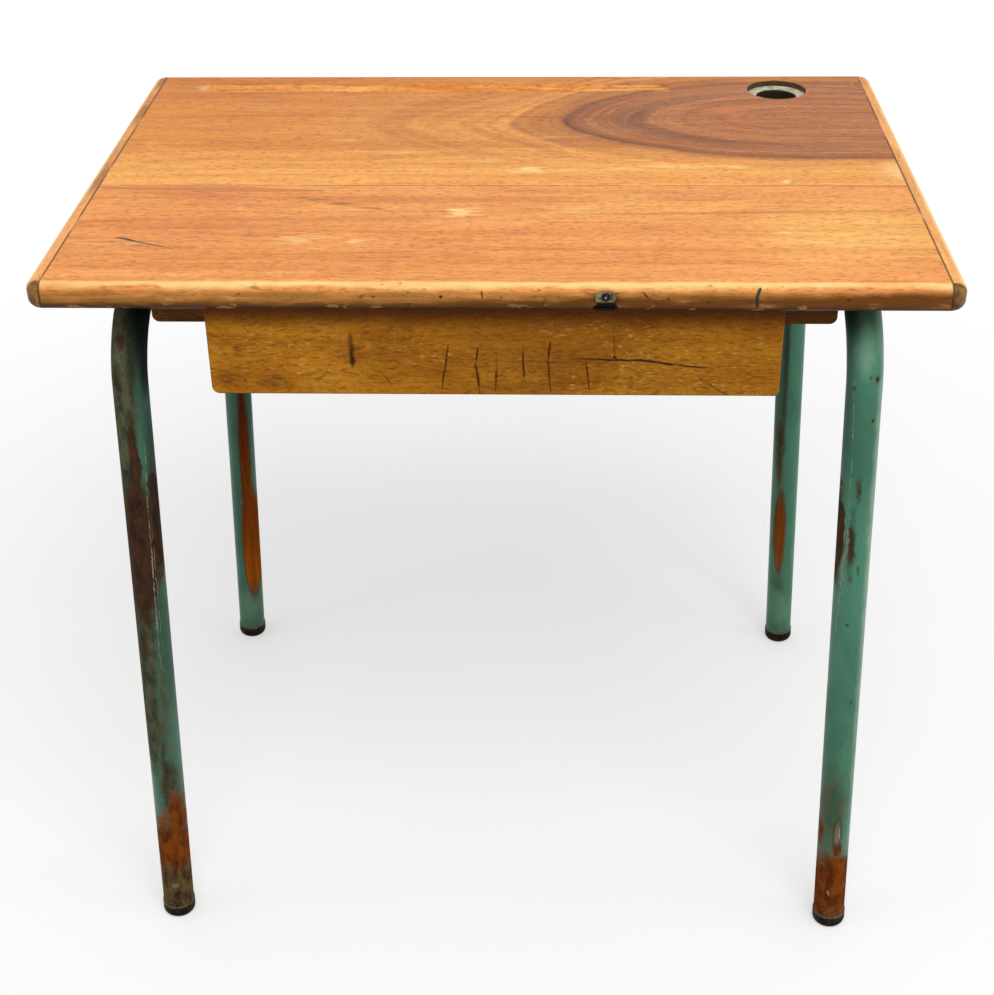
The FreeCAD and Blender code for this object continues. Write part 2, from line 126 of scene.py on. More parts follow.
def shaken(place, scale, amount):
    """Coordinates moved about by up to half the amount, so that what is drawn on them gets ragged."""
    amounts = amount if isinstance(amount, tuple) else (amount, amount, amount)
    drift = put("TexNoise", {"Vector": place, "Scale": scale, "Detail": 3.0}).outputs[1]
    centred = vectors("SUBTRACT", drift, (0.5, 0.5, 0.5))
    return vectors("ADD", vectors("MULTIPLY", centred, amounts), place)


def banded(value, stops):
    """A colour ramp through (position, colour) stops."""
    made = put("ValToRGB", {0: value})
    elements = made.color_ramp.elements
    elements.remove(elements[1])
    elements[0].position, elements[0].color = stops[0]
    for position, colour in stops[1:]:
        elements.new(position).color = colour
    return made.outputs[0]


def new_group(name, inputs, outputs):
    """A shader node group with its named sockets: the group, what it is given and what it wants."""
    group = bpy.data.node_groups.new(name, "ShaderNodeTree")
    for socket, kind in inputs:
        group.interface.new_socket(name=socket, in_out="INPUT", socket_type="NodeSocket" + kind)
    for socket, kind in outputs:
        group.interface.new_socket(name=socket, in_out="OUTPUT", socket_type="NodeSocket" + kind)
    return group, group.nodes.new("NodeGroupInput").outputs, group.nodes.new("NodeGroupOutput").inputs


def make_wood_grain():
    """Wood with its grain along X: broad and fine streaks and short dark pores over a base colour."""
    inputs = [("Place", "Vector"), ("Base", "Color"), ("Streaks", "Float"), ("Pores", "Float")]
    group, given, wanted = new_group("wood_grain", inputs, [("Colour", "Color"), ("Height", "Float")])
    bent = shaken(given["Place"], 7.0, 10 * MM)
    broad = cloud(bent, (2.2, 46, 46), 5.0, 0.6)
    fine = cloud(bent, (14, 240, 240), 5.0, 0.4)
    flame = cloud(bent, (45, 130, 130), 4.0, 0.8)
    dashes = cloud(bent, (150, 480, 480), 4.0)
    broad_share = product(ramped(broad, 0.44, 0.66), given["Streaks"])
    fine_share = product(ramped(fine, 0.46, 0.70), given["Streaks"])
    pale_share = product(ramped(flame, 0.50, 0.30), given["Streaks"])
    pore_share = product(ramped(dashes, 0.50, 0.66), given["Pores"])
    colour = toned(broad_share, given["Base"], (0.82, 0.68, 0.58))
    colour = toned(fine_share, colour, (0.82, 0.70, 0.60))
    colour = toned(pale_share, colour, (1.16, 1.22, 1.25))
    colour = toned(pore_share, colour, (0.66, 0.52, 0.42))
    relief = maths("SUBTRACT", maths("MULTIPLY", fine, 0.4), pore_share)
    link(colour, wanted["Colour"])
    link(relief, wanted["Height"])
    return group


def make_patch():
    """A soft-edged blot: an ellipsoid with a centre and a reach along each axis."""
    inputs = [("Place", "Vector"), ("Centre", "Vector"), ("Reach", "Vector"), ("Edge", "Float")]
    group, given, wanted = new_group("patch", inputs, [("Mask", "Float")])
    offset = vectors("SUBTRACT", given["Place"], given["Centre"])
    far = measured("LENGTH", vectors("DIVIDE", offset, given["Reach"]))
    inner = maths("SUBTRACT", 1.0, given["Edge"])
    link(ramped(far, 1.0, inner), wanted["Mask"])
    return group


def make_stroke():
    """A scratch from start to end, thickest in the middle and pointed at both ends."""
    inputs = [("Place", "Vector"), ("Start", "Vector"), ("End", "Vector"), ("Width", "Float")]
    group, given, wanted = new_group("stroke", inputs, [("Mask", "Float")])
    away = vectors("SUBTRACT", given["Place"], given["Start"])
    whole = vectors("SUBTRACT", given["End"], given["Start"])
    reached = measured("DOT_PRODUCT", away, whole)
    share = maths("DIVIDE", reached, measured("DOT_PRODUCT", whole, whole))
    share = put("Clamp", {0: share}).outputs[0]
    nearest = put("VectorMath", {0: whole, "Scale": share}, operation="SCALE").outputs[0]
    far = measured("LENGTH", vectors("SUBTRACT", away, nearest))
    bulge = product(maths("SUBTRACT", 1.0, share), share, 1.4)
    half = product(maths("ADD", bulge, 0.15), given["Width"])
    link(ramped(far, half, product(half, 0.4)), wanted["Mask"])
    return group


wood_grain = make_wood_grain()
patch = make_patch()
stroke = make_stroke()


def strongest(*masks):
    """The greatest of several masks at each point."""
    total = masks[0]
    for mask in masks[1:]:
        total = maths("MAXIMUM", total, mask)
    return total


def metres(point):
    return tuple(value * MM for value in point)


def blots(place, marks):
    """Soft patches, each a (centre, reach, edge, strength) in millimetres."""
    masks = []
    for centre, reach, edge, strength in marks:
        inputs = {"Place": place, "Centre": metres(centre), "Reach": metres(reach), "Edge": edge}
        mask = put("Group", inputs, node_tree=patch).outputs[0]
        masks.append(product(mask, strength))
    return strongest(*masks)


def scratches(place, marks):
    """Scratches, each a (start, end, width, strength) in millimetres."""
    masks = []
    for start, end, width, strength in marks:
        inputs = {"Place": place, "Start": metres(start), "End": metres(end), "Width": width * MM}
        mask = put("Group", inputs, node_tree=stroke).outputs[0]
        masks.append(product(mask, strength))
    return strongest(*masks)


def new_material(name):
    """A material with its shader, and where each point of the piece lies."""
    material = bpy.data.materials.new(name)
    material.use_nodes = True
    nodes = material.node_tree.nodes
    place = nodes.new("ShaderNodeTexCoord").outputs["Object"]
    return material, nodes["Principled BSDF"], place


def coordinates(place):
    return put("SeparateXYZ", {0: place}).outputs


def grained(place, base, streaks, pores):
    """The colour and height of wood whose grain runs along the first coordinate."""
    inputs = {"Place": place, "Base": base, "Streaks": streaks, "Pores": pores}
    return put("Group", inputs, node_tree=wood_grain).outputs


def surface(shader, colour, roughness, height, relief, gloss=0.5):
    """Gives the shader a colour, a roughness, a height whose relief is in metres, and a gloss."""
    link(colour, shader.inputs["Base Color"])
    link(roughness, shader.inputs["Roughness"])
    shader.inputs["Specular IOR Level"].default_value = gloss
    bump = put("Bump", {"Height": height, "Distance": relief})
    link(bump.outputs[0], shader.inputs["Normal"])


def dress(material, *names):
    """Gives CAD nodes a material."""
    for name in names:
        for slot in frame["nodes"][name].material_slots:
            slot.material = material


mounts = {mount["name"]: mount for mount in frame["record"]["mounts"]}
lid_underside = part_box("lid_rear_board")[0].z
lid_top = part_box("lid_rear_board")[1].z
board_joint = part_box("lid_front_board")[1].y
lipping_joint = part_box("lid_right_lipping")[0].x
top_level = lid_top / MM


def joint_lines(place):
    """Thin dark lines where the boards meet each other and the lippings."""
    x, y = coordinates(place)[:2]
    out = maths("ABSOLUTE", x)
    from_lipping = maths("ABSOLUTE", maths("SUBTRACT", out, lipping_joint))
    from_board = maths("ABSOLUTE", maths("SUBTRACT", y, board_joint))
    at_lipping = ramped(from_lipping, 1.2 * MM, 0.4 * MM)
    at_board = product(ramped(from_board, 1.3 * MM, 0.3 * MM), 0.7)
    at_board = product(at_board, maths("LESS_THAN", out, lipping_joint))
    uneven = ramped(cloud(place, (22, 22, 22)), 0.25, 0.50)
    return product(strongest(at_lipping, at_board), uneven)


def frayed(x, y, length, width, strength):
    """Thin strokes side by side along the grain of the top, where fibres have torn out."""
    strands = []
    for strand in range(-3, 4):
        reach = length * (0.20 + 0.24 * math.sin(5.3 * strand + x) ** 2)
        middle = x + 0.26 * length * math.sin(2.7 * strand + y)
        across = y + strand * width / 7
        start = (middle - reach, across, top_level)
        end = (middle + reach, across, top_level)
        share = strength * (0.7 + 0.3 * math.cos(2.1 * strand + x))
        strands.append((start, end, width * 0.21, share))
    return strands


def torn_flecks(place, flecks):
    """Pale flecks, each an (x, y, length, width, strength) in millimetres."""
    strands = []
    middles = []
    for x, y, length, width, strength in flecks:
        strands += frayed(x, y, length, width, strength)
        middles.append(((x, y, top_level), (length * 0.40, width * 0.46, 4), 0.8, strength * 0.5))
    fibres = ramped(cloud(place, (70, 520, 520)), 0.32, 0.54)
    ragged = shaken(place, 110.0, metres((9, 1.6, 0)))
    torn = strongest(scratches(ragged, strands), blots(ragged, middles))
    return product(torn, scaled(fibres, 0.6, 0.4))


def jointed(place, colour, share, line):
    """A colour with the joint lines drawn over it, and the unfinished wood of the lid's underside."""
    bare = ramped(coordinates(place)[2], lid_underside + 1.5 * MM, lid_underside + 0.5 * MM)
    colour = blended(product(joint_lines(place), share), colour, line)
    return blended(product(bare, 0.6), colour, tint(160, 110, 72))


def rear_board_wood():
    material, shader, place = new_material("rear_board_hardwood")
    heart_centre = metres((253, 121, 0))
    heart_reach = metres((200, 103, 1000))
    pointed = 1.8
    wavy = shaken(place, 8.0, metres((34, 14, 0)))
    heart_x, heart_y = coordinates(vectors("SUBTRACT", wavy, heart_centre))[:2]
    ahead = maths("MINIMUM", heart_x, 0.0)
    sag = product(ramped(heart_x, -150 * MM, -270 * MM), 17 * MM)
    tapering = joined(ahead, maths("ADD", heart_y, sag), 0.0)
    teeth = product(maths("SUBTRACT", cloud(place, (10, 300, 300), 4.0), 0.5), 0.05)
    shares = vectors("ABSOLUTE", vectors("DIVIDE", tapering, heart_reach))
    share_x, share_y = coordinates(shares)[:2]
    powers = maths("ADD", maths("POWER", share_x, pointed), maths("POWER", share_y, pointed))
    sharper = product(share_y, ramped(share_x, 0.85, 1.25), 0.19)
    smooth_rings = maths("ADD", maths("POWER", powers, 1 / pointed), sharper)
    rings = maths("ADD", smooth_rings, teeth)
    figure = banded(maths("MULTIPLY", rings, 0.25), [
        (0.000, tint(196, 122, 66)), (0.110, tint(188, 117, 63)), (0.152, tint(190, 119, 65)),
        (0.168, tint(160, 104, 60)), (0.188, tint(164, 105, 58)), (0.198, tint(184, 114, 62)),
        (0.238, tint(172, 105, 56)), (0.249, tint(160, 97, 48)), (0.256, tint(190, 120, 54)),
        (0.272, tint(208, 133, 58)), (0.314, tint(206, 132, 58)), (0.324, tint(245, 169, 87)),
        (0.337, tint(234, 156, 74)), (0.455, tint(226, 146, 64)), (0.467, tint(220, 141, 60)),
        (0.475, tint(234, 155, 70)), (0.560, tint(232, 149, 62)), (0.750, tint(232, 148, 58)),
        (1.000, tint(232, 148, 58)),
    ])
    in_heart = ramped(rings, 1.0, 0.93)
    to_the_end = product(ramped(heart_x, -90 * MM, 20 * MM), in_heart, 0.65)
    figure = blended(to_the_end, figure, tint(192, 121, 68))
    along_ring = measured("DOT_PRODUCT", wavy, (5.0, 8.0, 0.0))
    ring_place = joined(product(rings, 13.0), along_ring, 0.0)
    growth = cloud(ring_place, (1, 1, 1), 6.0, 0.3)
    fading = ramped(rings, 2.4, 1.2)
    ringed = product(ramped(growth, 0.47, 0.64), fading, 0.85)
    figure = toned(ringed, figure, (0.78, 0.69, 0.60))
    lighter = product(ramped(growth, 0.47, 0.32), fading, 0.85)
    figure = toned(lighter, figure, (1.13, 1.17, 1.19))
    line_place = joined(product(rings, 38.0), along_ring, 1.0)
    lines = cloud(line_place, (1, 1, 1), 4.0, 0.2)
    figure = blended(product(ramped(lines, 0.54, 0.68), in_heart, 0.45), figure, tint(222, 152, 98))
    dim_lines = product(ramped(lines, 0.46, 0.34), in_heart, 0.6)
    figure = toned(dim_lines, figure, (0.76, 0.72, 0.70))
    from_edge = maths("ABSOLUTE", maths("SUBTRACT", rings, 0.99))
    in_front = scaled(ramped(heart_y, 10 * MM, -10 * MM), 0.7, 0.3)
    near_tip = product(ramped(heart_x, -60 * MM, -170 * MM), in_front, 0.6)
    tip = product(ramped(from_edge, 0.022, 0.004), near_tip)
    figure = blended(tip, figure, tint(84, 50, 32))
    x, y, z = coordinates(place)
    outside = ramped(rings, 1.0, 1.12)
    near_joint = product(ramped(y, 70 * MM, -25 * MM), outside, 0.9)
    base = blended(near_joint, figure, tint(255, 180, 90))
    groove_middle = metres((-69, 209, 0))
    groove_off = vectors("DIVIDE", vectors("SUBTRACT", place, groove_middle), metres((229, 14, 1)))
    groove_x, groove_y = coordinates(vectors("ABSOLUTE", groove_off))[:2]
    sunk = ramped(z, lid_top - 0.2 * MM, lid_top - 1.0 * MM)
    in_groove = product(sunk, maths("LESS_THAN", groove_x, 1.0), maths("LESS_THAN", groove_y, 1.0))
    strips = ramped(cloud(place, (16, 340, 200), 4.0), 0.40, 0.66)
    base = blended(product(in_groove, strips, 0.75), base, tint(252, 194, 120))
    groove_start = product(in_groove, ramped(x, -60 * MM, -200 * MM), 0.4)
    base = blended(groove_start, base, tint(255, 196, 124))
    far_side = product(ramped(y, 150 * MM, 190 * MM), outside)
    base = toned(far_side, base, (0.93, 0.88, 0.80))
    colour, height = grained(place, base, 0.62, 0.66)
    flecks = torn_flecks(place, [
        (23, -12, 30, 15, 1.6), (56, -12, 22, 6, 0.9), (150, -4, 66, 8, 0.9), (104, -9, 36, 6, 0.7),
        (200, -4, 28, 8, 1.0), (238, -38, 10, 7, 1.5), (-13, 11, 26, 7, 0.5), (-142, 62, 30, 6, 0.5),
        (-287, 209, 30, 14, 1.2), (40, 70, 40, 6, 0.4), (-90, 30, 40, 6, 0.5),
    ])
    colour = blended(flecks, colour, tint(255, 218, 144))
    bleached = blots(shaken(place, 50.0, 16 * MM), [((335, -14, top_level), (24, 36, 4), 0.9, 0.8)])
    colour = blended(bleached, colour, tint(252, 202, 134))
    reddened = blots(shaken(place, 60.0, 14 * MM), [((207, 140, top_level), (27, 16, 4), 0.8, 0.85)])
    colour = blended(reddened, colour, tint(212, 120, 74))
    specks = ramped(cloud(place, (210, 330, 330), 2.0), 0.70, 0.77)
    colour = blended(product(specks, 0.5), colour, tint(250, 196, 140))

    well_centre = mounts["inkwell_recess"]["pos_m"]
    well_radius = mounts["inkwell_recess"]["dims"]["r_mm"] * MM
    ledge = lid_top - mounts["inkwell_recess"]["dims"]["length_mm"] * MM
    well_x, well_y = coordinates(vectors("SUBTRACT", place, well_centre))[:2]
    across = measured("LENGTH", joined(well_x, well_y, 0.0))
    in_well = product(sunk, ramped(across, well_radius + 1.0 * MM, well_radius + 0.5 * MM))
    # Painted shade: the wall of the recess and the bore below the ledge are painted dark, and this noise
    # mottles that painted shade and the dust on the ledge.
    grime = cloud(place, (160, 160, 160))
    wall = blended(grime, tint(40, 34, 24), tint(96, 82, 58))
    colour = blended(in_well, colour, wall)
    on_ledge = ramped(maths("ABSOLUTE", maths("SUBTRACT", z, ledge)), 0.8 * MM, 0.3 * MM)
    dusty = blended(ramped(grime, 0.3, 0.7), tint(226, 220, 196), tint(178, 168, 140))
    colour = blended(product(on_ledge, in_well), colour, dusty)
    below = product(in_well, ramped(z, ledge - 0.5 * MM, ledge - 3 * MM))
    colour = blended(below, colour, tint(46, 34, 24))

    colour = jointed(place, colour, 0.8, tint(70, 40, 26))
    roughness = scaled(cloud(place, (30, 90, 90)), 0.25, 0.33)
    surface(shader, colour, roughness, height, 0.25 * MM, gloss=0.18)
    return material


dress(rear_board_wood(), "lid_rear_board")


# Lid, front board
# The narrower plank on the pupil's side, of a redder and plainer cut of the same hardwood.
# Its front edge is a rounded nose, worn pale along the top with a painted highlight there, grimy below and
# painted dark underneath as shade, and nicked by years of use.

front_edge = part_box("lid_front_board")[0].y
catch_x = 84


def make_nose_wear():
    """Where the rounded front edge is rubbed pale and given a painted highlight, and where hands and chairs
    have left it grimy.
    """
    outputs = [("Pale", "Float"), ("Brown", "Float"), ("Grime", "Float")]
    group, given, wanted = new_group("nose_wear", [("Place", "Vector")], outputs)
    ragged = shaken(given["Place"], 45.0, 5 * MM)
    x, y, z = coordinates(ragged)
    front = ramped(y, front_edge + 9.2 * MM, front_edge + 5.7 * MM)
    worn_more = ramped(cloud(given["Place"], (9, 9, 9), 4.0), 0.32, 0.60)
    reach = maths("SUBTRACT", lid_top - 2.2 * MM, product(worn_more, 4.0 * MM))
    # The pale band along the top of the nose is wear and a painted highlight together.
    rubbed = ramped(z, reach, lid_top - 0.4 * MM)
    below = ramped(z, lid_top - 3.0 * MM, lid_top - 7.0 * MM)
    sooner = product(ramped(x, -70 * MM, 40 * MM), 5 * MM)
    sooner = maths("ADD", sooner, product(ramped(x, 220 * MM, 300 * MM), 3 * MM))
    dirty = ramped(maths("SUBTRACT", z, sooner), lid_top - 10 * MM, lid_top - 17 * MM)
    streaked = ramped(cloud(given["Place"], (30, 30, 260), 4.0), 0.26, 0.62)
    patchy = ramped(cloud(given["Place"], (26, 26, 120), 4.0), 0.20, 0.50)
    uneven = ramped(cloud(given["Place"], (20, 60, 110), 5.0), 0.28, 0.56)
    uneven = scaled(uneven, 0.6, 0.4)
    link(product(front, rubbed, uneven), wanted["Pale"])
    link(product(front, below, streaked), wanted["Brown"])
    link(product(front, dirty, patchy), wanted["Grime"])
    return group


nose_wear = make_nose_wear()


def worn_nose(place, colour):
    """A colour with the wear of the front edge laid over it, a painted highlight along its top and painted
    shade on its underside.
    """
    pale, brown, grime = put("Group", {"Place": place}, node_tree=nose_wear).outputs
    colour = blended(product(brown, 0.85), colour, tint(178, 124, 54))
    colour = blended(product(pale, 0.95), colour, tint(255, 214, 138))
    colour = blended(product(grime, 0.9), colour, tint(104, 54, 0))
    y, z = coordinates(shaken(place, 70.0, 3 * MM))[1:]
    # Painted shade: the underside of the nose is darkened almost to black.
    nosed = ramped(y, front_edge + 16 * MM, front_edge + 12 * MM)
    under = product(nosed, ramped(z, lid_underside + 5.6 * MM, lid_underside + 2.4 * MM), 0.95)
    return blended(under, colour, tint(48, 6, 0))


def front_board_wood():
    material, shader, place = new_material("front_board_hardwood")
    nose = front_edge / MM
    middle = (lid_underside + lid_top) / 2 / MM
    drift = cloud(place, (3, 22, 22), 3.0, 1.0)
    base = blended(ramped(drift, 0.35, 0.65), tint(249, 168, 90), tint(238, 155, 81))
    ragged = shaken(place, 16.0, 70 * MM)
    redder = blots(ragged, [
        ((-255, -130, top_level), (120, 90, 200), 0.9, 0.75),
        ((-60, -190, top_level), (120, 40, 200), 0.9, 0.4),
    ])
    base = blended(redder, base, tint(235, 147, 78))
    yellower = blots(ragged, [
        ((280, -150, top_level), (130, 90, 200), 0.9, 0.95),
        ((130, -95, top_level), (130, 40, 200), 0.9, 0.5),
    ])
    base = blended(yellower, base, tint(254, 190, 100))
    colour, height = grained(place, base, 0.62, 0.66)
    ruddy = scratches(shaken(place, 30.0, metres((40, 6, 0))), [
        ((-338, -54, top_level), (-150, -60, top_level), 16, 0.6),
        ((-300, -66, top_level), (-210, -72, top_level), 12, 0.4),
        ((60, -112, top_level), (330, -104, top_level), 8, 0.4),
    ])
    colour = blended(ruddy, colour, tint(196, 104, 46))
    flecks = torn_flecks(place, [
        (-29, -107, 30, 19, 1.6), (-155, -164, 34, 18, 0.8), (-110, -168, 11, 9, 1.1),
        (60, -103, 44, 16, 0.4), (226, -148, 16, 7, 0.9), (120, -120, 30, 6, 0.35),
    ])
    colour = blended(flecks, colour, tint(255, 218, 144))
    smoky = scratches(shaken(place, 40.0, 6 * MM), [
        ((-175, -70, top_level), (-84, -106, top_level), 12, 0.8),
        ((-335, -162, top_level), (-235, -180, top_level), 22, 0.4),
    ])
    smoky = product(smoky, ramped(cloud(place, (24, 300, 300), 4.0), 0.40, 0.66))
    colour = blended(smoky, colour, tint(120, 78, 58))
    cut = scratches(shaken(place, 60.0, 3 * MM), [
        ((-300, -160, top_level), (-250, -182, top_level), 3, 0.8),
        ((-298, -160, top_level), (-282, -167, top_level), 3.5, 1.0),
    ])
    colour = blended(cut, colour, tint(64, 48, 42))
    colour = worn_nose(place, colour)
    y, z = coordinates(place)[1:]
    chipped = ramped(cloud(place, (70, 70, 150), 4.0), 0.60, 0.66)
    low_down = ramped(z, lid_underside + 9 * MM, lid_underside + 4 * MM)
    chips = product(ramped(y, front_edge + 8 * MM, front_edge + 4 * MM), chipped, low_down)
    colour = blended(product(chips, 0.75), colour, tint(222, 172, 104))
    speckled = ramped(cloud(place, (190, 190, 230), 3.0), 0.68, 0.73)
    specks = product(ramped(y, front_edge + 8 * MM, front_edge + 5 * MM), speckled)
    nicks = blots(shaken(place, 200.0, 3 * MM), [
        ((-176, nose + 2, 647), (6, 6, 2), 0.8, 0.6), ((-38, nose, 641), (2, 6, 1.6), 0.6, 1.0),
        ((35, nose + 2, 646), (2, 6, 1.5), 0.8, 0.6), ((-88, nose, 641), (2.5, 6, 1.5), 0.8, 0.7),
        ((130, nose, 640), (2, 6, 1.6), 0.8, 0.8), ((262, nose, 639), (2.5, 6, 2), 0.8, 0.8),
        ((160, nose, 637), (1.8, 6, 1.8), 0.8, 0.8), ((-62, nose, 635), (3, 6, 1.6), 0.8, 0.7),
    ])
    crack = scratches(shaken(place, 90.0, 1 * MM), [
        ((197.5, nose + 2, 649), (194.4, nose, 640), 4, 1.0),
        ((194.8, nose, 643), (195.6, nose, 632), 4.5, 1.0),
    ])
    fine_cracks = scratches(shaken(place, 90.0, 2 * MM), [
        ((-8, nose + 1, 648), (-7, nose, 639), 1.6, 0.9), ((19, nose + 1, 646), (20, nose, 638), 1.2, 0.7),
        ((110, nose, 646), (116, nose, 639), 2, 0.9), ((85, nose, 643), (104, nose, 646), 1.8, 0.8),
        ((64, nose, 645), (80, nose, 643), 1.6, 0.7), ((40, nose, 640), (36, nose, 632), 1.4, 0.7),
    ])
    dark = strongest(product(specks, 0.5), nicks, fine_cracks)
    colour = blended(dark, colour, tint(50, 32, 20))
    colour = blended(crack, colour, tint(42, 52, 48))
    # Painted shade: the notch below the catch plate and the nose around it are painted black.
    notch_shadow = blots(shaken(place, 150.0, 2 * MM), [
        ((catch_x, nose + 4, middle - 8), (8.4, 16, 7), 0.2, 1.0),
        ((catch_x - 4, nose + 4, middle - 7), (6, 16, 5), 0.2, 1.0),
        ((catch_x + 4, nose + 4, middle - 7), (6, 16, 5), 0.2, 1.0),
        ((catch_x, nose, middle + 1), (13, 8, 9), 0.6, 0.8),
    ])
    colour = blended(notch_shadow, colour, tint(8, 7, 5))
    colour = jointed(place, colour, 0.8, tint(70, 40, 26))
    depth = maths("SUBTRACT", height, strongest(dark, crack, cut))
    roughness = scaled(cloud(place, (30, 90, 90)), 0.25, 0.34)
    roughness = strongest(roughness, notch_shadow)
    surface(shader, colour, roughness, depth, 0.3 * MM, gloss=0.18)
    return material


dress(front_board_wood(), "lid_front_board")


# Lid, end lippings
# Two narrow strips of the same hardwood, tongued and glued across the board ends to cover the end grain.
# Their own ends show at the front corners, dark with dirt, and a highlight is painted along their rounded
# outer edges.

def across_grain(place):
    """The coordinates with X and Y changed over, for pieces whose grain runs from front to rear."""
    x, y, z = coordinates(place)
    return joined(y, x, z)


def lipping_wood():
    material, shader, place = new_material("lipping_hardwood")
    x, y, z = coordinates(shaken(place, 40.0, 4 * MM))
    base = blended(cloud(place, (8, 14, 8)), tint(255, 188, 112), tint(240, 161, 90))
    colour, height = grained(across_grain(place), base, 0.6, 0.5)
    side = maths("ABSOLUTE", x)
    inner = ramped(side, lipping_joint + 7.5 * MM, lipping_joint + 5 * MM)
    darker = ramped(cloud(place, (9, 9, 9), 3.0), 0.40, 0.58)
    behind = ramped(y, -170 * MM, -60 * MM)
    on_left = scaled(ramped(x, 100 * MM, -100 * MM), 0.7, 0.3)
    colour = blended(product(inner, darker, behind, on_left, 0.75), colour, tint(156, 96, 52))
    # Painted highlight: the rounded outer edge near the top is made pale.
    near_top = ramped(z, lid_top - 8 * MM, lid_top - 3 * MM)
    rubbed = product(ramped(side, lipping_joint + 6 * MM, lipping_joint + 9 * MM), near_top)
    colour = blended(product(rubbed, 0.8), colour, tint(255, 212, 124))
    handled = product(ramped(z, lid_top - 9 * MM, lid_top - 18 * MM), 0.5)
    colour = blended(handled, colour, tint(120, 78, 36))
    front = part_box("lid_left_lipping")[0].y
    end_grain = ramped(y, front + 9 * MM, front + 6 * MM)
    rings = cloud(place, (130, 240, 130), 4.0, 1.0)
    dirty_end = blended(ramped(rings, 0.35, 0.65), tint(140, 100, 54), tint(60, 40, 18))
    rubbed_end = ramped(x, 100 * MM, -100 * MM)
    dirty_end = toned(rubbed_end, dirty_end, (1.6, 1.6, 1.6))
    colour = blended(product(end_grain, 0.9), colour, dirty_end)
    colour = jointed(place, colour, 0.85, tint(60, 34, 22))
    roughness = scaled(cloud(place, (60, 60, 60)), 0.25, 0.36)
    surface(shader, colour, roughness, height, 0.25 * MM, gloss=0.18)
    return material


dress(lipping_wood(), "lid_left_lipping", "lid_right_lipping")


# Lid, cleats
# Two battens of plain softwood across the underside of the lid, screwed up through their length.
# They keep the wide boards flat, and nobody ever finished them.

def make_grime():
    """Dust and handling marks: a mask that is thicker in some places than in others."""
    inputs = [("Place", "Vector"), ("Amount", "Float")]
    group, given, wanted = new_group("grime", inputs, [("Mask", "Float")])
    wide = ramped(cloud(given["Place"], (14, 14, 14), 4.0), 0.40, 0.72)
    spots = ramped(cloud(given["Place"], (150, 150, 150), 2.0), 0.62, 0.74)
    both = strongest(wide, product(spots, 0.7))
    link(product(both, given["Amount"]), wanted["Mask"])
    return group


grime = make_grime()


def soiled(place, amount):
    return put("Group", {"Place": place, "Amount": amount}, node_tree=grime).outputs[0]


def timber(name, base, dirt, streaks, pores, soil, crosswise=False):
    """Plain timber with its grain along X, or from front to rear, and as much dirt as soil says."""
    material, shader, place = new_material(name)
    grain_place = across_grain(place) if crosswise else place
    colour, height = grained(grain_place, base, streaks, pores)
    mask = soiled(place, soil)
    colour = blended(mask, colour, dirt)
    roughness = scaled(mask, 0.25, 0.55)
    surface(shader, colour, roughness, height, 0.35 * MM, gloss=0.2)
    return material


dress(timber("cleat_softwood", tint(212, 164, 108), tint(120, 88, 58), 0.7, 0.3, 0.5, crosswise=True),
      "lid_left_cleat", "lid_right_cleat")


# Catch plate and its screw
# A small pressed zinc plate let into the nose, greened and grimy, held by one round-headed steel screw.
# The notch cut below it took the tongue of a latch, and its inside and the nose round it are painted black
# as shade.

def make_tarnish():
    """Old metal: a base colour that goes dull, and blooms of rust over as much of it as asked."""
    inputs = [("Place", "Vector"), ("Metal", "Color"), ("Rust", "Color"), ("Share", "Float")]
    outputs = [("Colour", "Color"), ("Roughness", "Float"), ("Metallic", "Float"), ("Height", "Float")]
    group, given, wanted = new_group("tarnish", inputs, outputs)
    dull = cloud(given["Place"], (180, 180, 180), 4.0)
    bloom = cloud(given["Place"], (320, 320, 320), 4.0, 0.6)
    reach = maths("SUBTRACT", 0.85, product(given["Share"], 0.6))
    rusted = ramped(bloom, reach, maths("ADD", reach, 0.12))
    dimmed = toned(product(dull, 0.6), given["Metal"], (0.35, 0.33, 0.30))
    link(blended(rusted, dimmed, given["Rust"]), wanted["Colour"])
    rough = scaled(dull, 0.3, 0.28)
    link(strongest(rough, product(rusted, 0.85)), wanted["Roughness"])
    link(maths("SUBTRACT", 0.9, product(rusted, 0.8)), wanted["Metallic"])
    link(maths("ADD", product(dull, 0.3), rusted), wanted["Height"])
    return group


tarnish = make_tarnish()


def old_metal(name, metal, rust, share, marks=(), mark_colour=None):
    """Tarnished metal with blooms of rust over a share of it, and soft marks of another colour."""
    material, shader, place = new_material(name)
    inputs = {"Place": place, "Metal": metal, "Rust": rust, "Share": share}
    colour, roughness, metallic, height = put("Group", inputs, node_tree=tarnish).outputs
    if marks:
        colour = blended(blots(place, marks), colour, mark_colour)
    link(metallic, shader.inputs["Metallic"])
    surface(shader, colour, roughness, height, 0.1 * MM)
    return material


screw_low, screw_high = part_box("catch_screw")
screw_middle = (screw_low + screw_high) / 2
screw_place = (screw_middle.x / MM, screw_low.y / MM, screw_middle.z / MM)
# The dark ring on the plate round the screw head is painted shade.
dress(old_metal("greened_zinc", tint(142, 138, 98), tint(92, 78, 44), 0.6,
                [(screw_place, (4.4, 8, 4.4), 0.35, 0.95)], tint(24, 22, 20)), "catch_plate")
# The pale bluish spot in the middle of the screw head is a painted reflection.
dress(old_metal("dark_screw_steel", tint(36, 38, 40), tint(16, 14, 12), 0.4,
                [(screw_place, (1.3, 3, 1.3), 0.8, 0.7)], tint(200, 208, 222)), "catch_screw")


# Butt hinges, their pins and all wood screws
# Two pressed steel hinges on the rear edge, dull with age, each leaf held by three slotted screws.
# The same bright-drawn screws hold the cleats, and rust has started in their slots.

